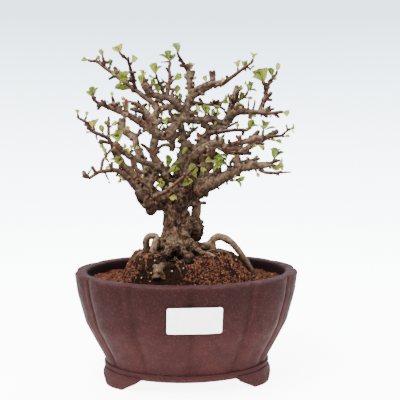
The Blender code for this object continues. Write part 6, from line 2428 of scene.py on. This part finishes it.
    def dress_back(self, count: int = 46, tries: int = 1600) -> None:
        """Adds tufts on thin twigs at the back of the crown, where the front view can't show their feet.

        Args:
            count: How many tufts are wanted.
            tries: How many places are tried at most.
        """
        faces = [f for f in self.wood.data.polygons
                 if f.center.z > self.lowest_back * MM and f.normal.y > -0.2]
        weights = [f.area for f in faces]
        placed = 0
        for _ in range(tries):
            if placed == count:
                break
            face = self.draw.choices(faces, weights)[0]
            start = face.center / MM
            lean = Vector((self.draw.uniform(-0.5, 0.5), self.draw.uniform(-0.2, 0.6), 0.7))
            axis = (face.normal + lean).normalized()
            place = start + axis * self.draw.uniform(1.0, 4.5)
            thick = depth_under(self.tree, face.center, face.normal) > self.thickest_back
            if thick or not self.hidden(place):
                continue
            if min((place - foot).length for foot in self.feet) < self.back_gap:
                continue
            self.add_twig(start - face.normal * 0.4, place)
            self.add_spur(place, axis, 0.8)
            length = self.draw.uniform(5, 8.5)
            kind = Leafage.YOUNG if length < 6.3 else Leafage.GREEN
            leaves = self.draw.choice((3, 4))
            self.fill_tuft(kind, place, axis, length, leaves, self.draw.uniform(0.2, 0.9), (12, 50))
            self.feet.append(place)
            placed += 1
        LOG.info("back of the crown: %d tufts", placed)

    def dress_twiglets(self, count: int = 95) -> None:
        """Adds short bare twigs to the thinner boughs, some with a pair of tiny leaves.

        Args:
            count: How many there are.
        """
        faces = [f for f in self.wood.data.polygons if f.center.z > self.lowest_twiglet * MM]
        weights = [f.area for f in faces]
        placed = 0
        while placed < count:
            face = self.draw.choices(faces, weights)[0]
            if depth_under(self.tree, face.center, face.normal) > self.thickest_twiglet:
                continue
            start = face.center / MM
            length = self.draw.uniform(3.5, 9.5)
            way = (face.normal + jitter(self.draw, 0.5) + Vector((0, 0, 0.5))).normalized()
            end = start + way * length
            if not self.fits(end, self.twiglet_margin):
                continue
            self.add_twig(start - face.normal * 0.5, end, (0.95, 0.62))
            if self.draw.random() < 0.55:
                grown, leaves = self.draw.uniform(2.6, 4.6), self.draw.choice((2, 2, 3))
                self.fill_tuft(Leafage.YOUNG, end, way, grown, leaves, self.draw.uniform(0.1, 0.8), (8, 34))
            placed += 1

    def build(self, planter: Planter, palette: Palette, bark: Object) -> None:
        """Builds the leaves of each kind and the twigs.

        Args:
            planter: Puts the leaves in place.
            palette: The finishes.
            bark: The dressed wood.
        """
        self.dress_cad_tufts()
        self.dress_extra_tufts(surface_tree(bark))
        self.dress_back()
        self.dress_twiglets()
        forms = [form.build(f"leaf_form_{i}") for i, form in enumerate(LEAF_FORMS)]
        patterns = pattern_set("leaf_patterns", forms)
        materials = {Leafage.GREEN: palette.green, Leafage.YOUNG: palette.young}
        for kind, leaves in self.leaves.items():
            foliage = planter.set_out(f"foliage_{kind.name.lower()}", leaves, patterns, materials[kind])
            inside = np.clip(points_of(foliage.data), np.array(self.low) + 0.05, np.array(self.high) - 0.05)
            move_points(foliage.data, inside)
            report(foliage, self.tufts[kind])
        drop_patterns(patterns)
        twigs = self.twigs.build("twigs")
        # The twigs get a fixed girth, and an even share of the weathering and painted top light.
        for name, value in (("girth", 1.6), ("over", 0.3)):
            store(twigs.data, name, np.full(len(self.twigs.points), value))
        dress(twigs, palette.bark)
        drop_object(self.wood)


# Flowers


@dataclass(frozen=True)
class Turned:
    """Closed body turned about a seat's axis, with a relief on its radius and its height."""

    profile: Rows
    sides: int = 60

    def build(self, name: str, foot: Vector, turn: Matrix, wide: Callable[[float, float], float],
              lift: Callable[[float, float], float]) -> Object:
        """Builds the body.

        Args:
            name: Name of the piece.
            foot: Middle of its base, in millimetres.
            turn: Turn whose Z is the axis.
            wide: Factor on the radius at an angle and a share of the profile.
            lift: What is added to the height there.

        Returns:
            The body.
        """
        points, alongs, acrosses = [], [], []
        rows = len(self.profile)
        for row, (height, radius) in enumerate(self.profile):
            share = row / (rows - 1)
            for k in range(self.sides):
                angle = FULL_TURN * k / self.sides
                reach = radius * wide(angle, share)
                spot = Vector((reach * math.cos(angle), reach * math.sin(angle), height + lift(angle, share)))
                points.append(foot + turn @ spot)
                alongs.append(share)
                acrosses.append(angle * 1.2)
        obj = closed_object(name, points, grid_faces(rows, self.sides, capped=True))
        store(obj.data, "along", np.array(alongs))
        store(obj.data, "across", np.array(acrosses))
        return obj


@dataclass(frozen=True)
class FlowerShape:
    """Buds and open blooms, set on the seats that the CAD's calyxes show."""

    calyx_sides: int = 7
    gap: float = 0.3
    petals: int = 5
    petal_length: float = 8.5
    petal_width: float = 7.8
    petal_form: BladeForm = BladeForm(
        stations=(0.0, 0.06, 0.14, 0.25, 0.38, 0.52, 0.66, 0.79, 0.90, 0.97),
        halves=(0.07, 0.09, 0.20, 0.36, 0.46, 0.50, 0.50, 0.45, 0.34, 0.18), arch=-0.15,
        fold=0.0, cup=0.75, thick=0.012, ruffle=0.05, teeth=0.0, columns=9)
    bud_shares: tuple[float, ...] = (0, 0.12, 0.3, 0.5, 0.66, 0.85, 0.95, 1)
    bud_widths: tuple[float, ...] = (0.5, 0.86, 1, 0.985, 0.86, 0.55, 0.34, 0.04)
    stamens: int = 26
    seed: int = 31

    def seat(self, name: str) -> tuple[Vector, Matrix]:
        """Foot and turn of a flower, found from the rings of its CAD calyx.

        Args:
            name: Name of the flower.

        Returns:
            Its foot, and a turn whose Z is its axis.
        """
        calyx, petals = merged_copy(name + "_calyx"), merged_copy(name + "_petals")
        points = points_of(calyx.data)
        axis = points_of(petals.data).mean(0) - points.mean(0)
        drop_object(calyx)
        drop_object(petals)
        for _ in range(4):
            order = np.argsort(points @ (axis / np.linalg.norm(axis)))
            base = points[order[:self.calyx_sides]].mean(0)
            axis = points[order[-self.calyx_sides:]].mean(0) - base
        way = Vector(axis).normalized()
        return Vector(base) - way * self.gap, way.to_track_quat("Z", "Y").to_matrix()

    @staticmethod
    def calyx(name: str, foot: Vector, turn: Matrix, rim: float, material: Material) -> None:
        """Cup of five pointed sepals.

        Args:
            name: Name of the flower.
            foot: The flower's foot.
            turn: Turn whose Z is its axis.
            rim: Radius of the cup's rim.
            material: The sepals' green.
        """
        profile = ((0.1, 0.9), (0.5, 1.05), (1.1, 1.3 + 0.1 * rim), (1.7, 0.35 + 0.68 * rim),
                   (2.3, rim * 0.93), (2.9, rim), (3.2, rim * 1.03), (3.15, rim * 0.94),
                   (2.7, rim * 0.86), (2.2, rim * 0.6), (2.1, rim * 0.1))

        def wide(angle: float, share: float) -> float:
            """Factor on the radius: a sepal's bulge."""
            return 1 + 0.06 * math.cos(5 * angle) * min(share * 2, 1)

        def lift(angle: float, share: float) -> float:
            """Height added: a sepal's point."""
            point = abs(math.cos(2.5 * angle)) ** 0.8
            return 1.1 * (point - 0.6) * max(0.0, 1 - abs(share - 0.62) / 0.25)

        body = Turned(profile).build(name + "_sepals", foot, turn, wide, lift)
        dress(body, material, (name + "_calyx",))

    def bud(self, name: str, palette: Palette) -> None:
        """Closed bud: petals that wrap round each other over a cup of sepals.

        Args:
            name: Name of the flower.
            palette: The finishes.
        """
        foot, turn = self.seat(name)
        cad = merged_copy(name + "_petals")
        local = (points_of(cad.data) - np.array(foot)) @ np.array(turn)
        drop_object(cad)
        low, high = local[:, 2].min(), local[:, 2].max()
        radius = float(np.hypot(local[:, 0], local[:, 1]).max())
        shares = np.linspace(0, 1, 30)
        widths = np.interp(shares, self.bud_shares, self.bud_widths)
        profile = tuple((low - 0.5 + (high - low + 0.3) * share, radius * width * 0.84)
                        for share, width in zip(shares, widths))

        def wrap(angle: float, share: float) -> float:
            """Petals that overlap as they wind up the bud.

            Args:
                angle: Angle about the bud's axis.
                share: Share of its profile.

            Returns:
                Factor on the radius.
            """
            first = (angle * 3 / FULL_TURN + share * 0.55) % 1
            second = (angle * 2 / FULL_TURN + 0.4 - share * 0.3) % 1
            return 0.90 + 0.10 * first ** 0.7 + 0.03 * second - 0.05 * math.exp(-((first - 1) * 9) ** 2)

        body = Turned(profile, 96).build(name + "_wrapped", foot, turn, wrap, lambda angle, share: 0.0)
        dress(body, palette.petal, (name + "_petals",))
        self.calyx(name, foot, turn, radius * 0.74, palette.calyx)

    def bloom(self, name: str, planter: Planter, palette: Palette, draw: random.Random) -> None:
        """Open bloom: five cupped petals, a brush of stamens and a calyx.

        Args:
            name: Name of the flower.
            planter: Holder of the geometry trees.
            palette: The finishes.
            draw: Source of its unevenness.
        """
        foot, turn = self.seat(name)
        axis = turn @ Vector((0, 0, 1))
        side = axis.orthogonal().normalized()
        points, faces, alongs, acrosses = self.petal_form.shell()
        sized = points * np.array([self.petal_length, self.petal_width, self.petal_length])
        places, shells = [], []
        for k in range(self.petals):
            out = Matrix.Rotation(FULL_TURN * k / self.petals + draw.uniform(-0.05, 0.05), 3, axis) @ side
            tilt = math.radians(draw.uniform(62, 70))
            way = axis * math.cos(tilt) + out * math.sin(tilt)
            across = axis.cross(out)
            lie = np.array(Matrix((way, across, way.cross(across))).transposed())
            centre = np.array(foot + axis * (3.5 + 0.12 * (k % 2)) + out * 0.5)
            places.append(sized @ lie.T + centre)
            shells += [tuple(k * len(points) + i for i in face) for face in faces]
        petals = closed_object(name + "_open_petals", np.vstack(places), shells)
        store(petals.data, "along", np.tile(alongs, self.petals))
        store(petals.data, "across", np.tile(acrosses, self.petals))
        dress(petals, palette.open_petal, (name + "_petals",))
        self.calyx(name, foot, turn, 1.95, palette.calyx)
        self.brush(name, foot, axis, side, planter, palette.stamen, draw)

    def brush(self, name: str, foot: Vector, axis: Vector, side: Vector, planter: Planter, material: Material,
              draw: random.Random) -> None:
        """Stamens in a brush, each a thread with a grain of pollen.

        Args:
            name: Name of the flower.
            foot: The flower's foot.
            axis: Its axis.
            side: A way across it.
            planter: Holder of the geometry trees.
            material: What the stamens are made of.
            draw: Source of their unevenness.
        """
        thread = ((0, 0, 0), (0.4, 0, 0.03), (0.8, 0, 0.02), (1, 0, 0))
        pollen = ((0.93, -0.03, 0), (1, -0.01, 0), (1.07, 0.02, 0), (1.13, 0.04, 0))
        shells = Shells()
        shells.tube([Vector(place) for place in thread], [0.035] * 4, 5)
        shells.tube([Vector(place) for place in pollen], [0.04, 0.1, 0.1, 0.04], 6)
        patterns = pattern_set("stamen_patterns", [shells.build("stamen_form")])
        placements = []
        for k in range(self.stamens):
            out = Matrix.Rotation(k * 2.4, 3, axis) @ side
            tilt = math.radians(8 + 34 * math.sqrt((k + 0.5) / self.stamens))
            way = (axis * math.cos(tilt) + out * math.sin(tilt)).normalized()
            across = axis.cross(out).normalized()
            size = draw.uniform(3.3, 4.4)
            start = foot + axis * 3.9 + out * 0.7 * math.sqrt(k / self.stamens)
            placements.append(Placement(start, Matrix((way, across, way.cross(across))).transposed(),
                                        (size, size, size), 0, draw.random()))
        brush = planter.set_out(name + "_brush", placements, patterns, material)
        drop_patterns(patterns)
        report(brush, (name + "_stamens",))

    def build(self, planter: Planter, palette: Palette) -> None:
        """Builds every flower.

        Args:
            planter: Holder of the geometry trees.
            palette: The finishes.
        """
        draw = random.Random(self.seed)
        for name in ("bud_left", "bud_inner"):
            self.bud(name, palette)
        for name in ("bloom_left", "bloom_right"):
            self.bloom(name, planter, palette, draw)


# The studio


@dataclass(frozen=True)
class Light:
    """Soft square light: name, power in watts, side in metres, place and colour."""

    name: str
    power: float
    side: float
    place: tuple[float, float, float]
    colour: Colour

    def build(self, target: Vector) -> None:
        """The lamp, turned to what it lights.

        Args:
            target: Where it points, in metres.
        """
        data = bpy.data.lights.new(self.name, "AREA")
        data.energy, data.size, data.color = self.power, self.side, self.colour
        lamp = link(bpy.data.objects.new(self.name, data))
        lamp.location = self.place
        lamp.rotation_mode = "QUATERNION"
        lamp.rotation_quaternion = (target - lamp.location).to_track_quat("-Z", "Y")


@dataclass(frozen=True)
class Studio:
    """Plain pale floor that fades into the pale surroundings, and soft lights."""

    radius: float = 1100.0
    sides: int = 96
    fade_from: float = 380.0
    floor: Colour = (0.87, 0.855, 0.83)
    upper: Colour = (0.70, 0.86, 1.0)
    lower: Colour = (0.90, 0.97, 1.0)
    strength: float = 3.5
    horizon_gain: float = 2.9
    glow: float = 8.0
    target: tuple[float, float, float] = (0, 0, 0.13)
    lights: tuple[Light, ...] = (
        Light("key", 60.0, 0.7, (-0.42, -0.45, 1.15), (1.0, 0.98, 0.95)),
        Light("fill", 10.0, 1.0, (0.8, -0.7, 0.6), (0.95, 0.98, 1.0)),
        Light("back", 18.0, 0.8, (0.2, 0.8, 0.9), (0.94, 0.97, 1.0)),
    )

    def floor_material(self) -> Material:
        """Pale floor, clear towards its rim.

        Returns:
            The material.
        """
        material = bpy.data.materials.new("studio_floor")
        material.use_nodes = True
        graph = Graph(material.node_tree)
        shader, target = (graph.tree.nodes[name] for name in ("Principled BSDF", "Material Output"))
        place = graph.add("ShaderNodeTexCoord").outputs["Object"]
        patch = graph.between(graph.noise(place, 260.0), 0.35, 0.7)
        colour = graph.mix(patch, self.floor, tuple(c * 0.985 for c in self.floor))
        for name, value in (("Base Color", colour), ("Emission Color", colour), ("Roughness", 0.85),
                            ("Emission Strength", self.glow)):
            graph.feed(shader.inputs[name], value)
        reach = graph.add("ShaderNodeVectorMath", {0: place}, operation="LENGTH").outputs["Value"]
        fade = graph.between(reach, self.fade_from * MM, self.radius * MM * 0.95)
        clear = graph.add("ShaderNodeBsdfTransparent").outputs[0]
        blend = graph.add("ShaderNodeMixShader", {0: fade, 1: shader.outputs[0], 2: clear})
        graph.feed(target.inputs["Surface"], blend.outputs[0])
        return material

    def build(self) -> None:
        """The floor, the surroundings and the lights."""
        turns = np.arange(self.sides) * FULL_TURN / self.sides
        rim = np.column_stack([np.cos(turns), np.sin(turns), np.zeros(self.sides)]) * self.radius
        floor = make_object("studio_floor", rim, [tuple(range(self.sides))], False)
        floor.data.materials.append(self.floor_material())
        floor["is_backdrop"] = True
        world = bpy.data.worlds.new("surroundings")
        bpy.context.scene.world = world
        world.use_nodes = True
        graph = Graph(world.node_tree)
        inputs = graph.tree.nodes["Background"].inputs
        place = graph.add("ShaderNodeTexCoord").outputs["Object"]
        low = graph.between(graph.add("ShaderNodeSeparateXYZ", {0: place}).outputs[2], 0.17, -0.13)
        graph.feed(inputs["Color"], graph.mix(low, self.upper, self.lower))
        strongest = self.strength * self.horizon_gain
        graph.feed(inputs["Strength"], graph.between(low, 0, 1, self.strength, strongest))
        for light in self.lights:
            light.build(Vector(self.target))


def main() -> None:
    """Dresses the frame."""
    logging.basicConfig(level=logging.INFO, format="%(message)s")
    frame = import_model()
    viewpoint = Viewpoint()
    palette = Palette()
    planter = Planter()
    crown = Crown(frame, viewpoint)
    FlowerShape().build(planter, palette)
    bark = WoodShape().build(palette.bark)
    crown.build(planter, palette, bark)
    pot, soil = PotShape(), SoilShape()
    pot.build(palette.clay)
    LabelShape().build(pot, palette.paper)
    bed = soil.build_bed(pot, palette.bed)
    soil.build_grains(bed, planter, palette)
    soil.build_rootlets(palette.rootlet)
    for side in ("left", "right"):
        for slot in frame["nodes"][f"drain_mesh_{side}"].material_slots:
            slot.material = palette.mesh_plastic
    Studio().build()
    viewpoint.make_camera()


if __name__ == "__main__":
    main()
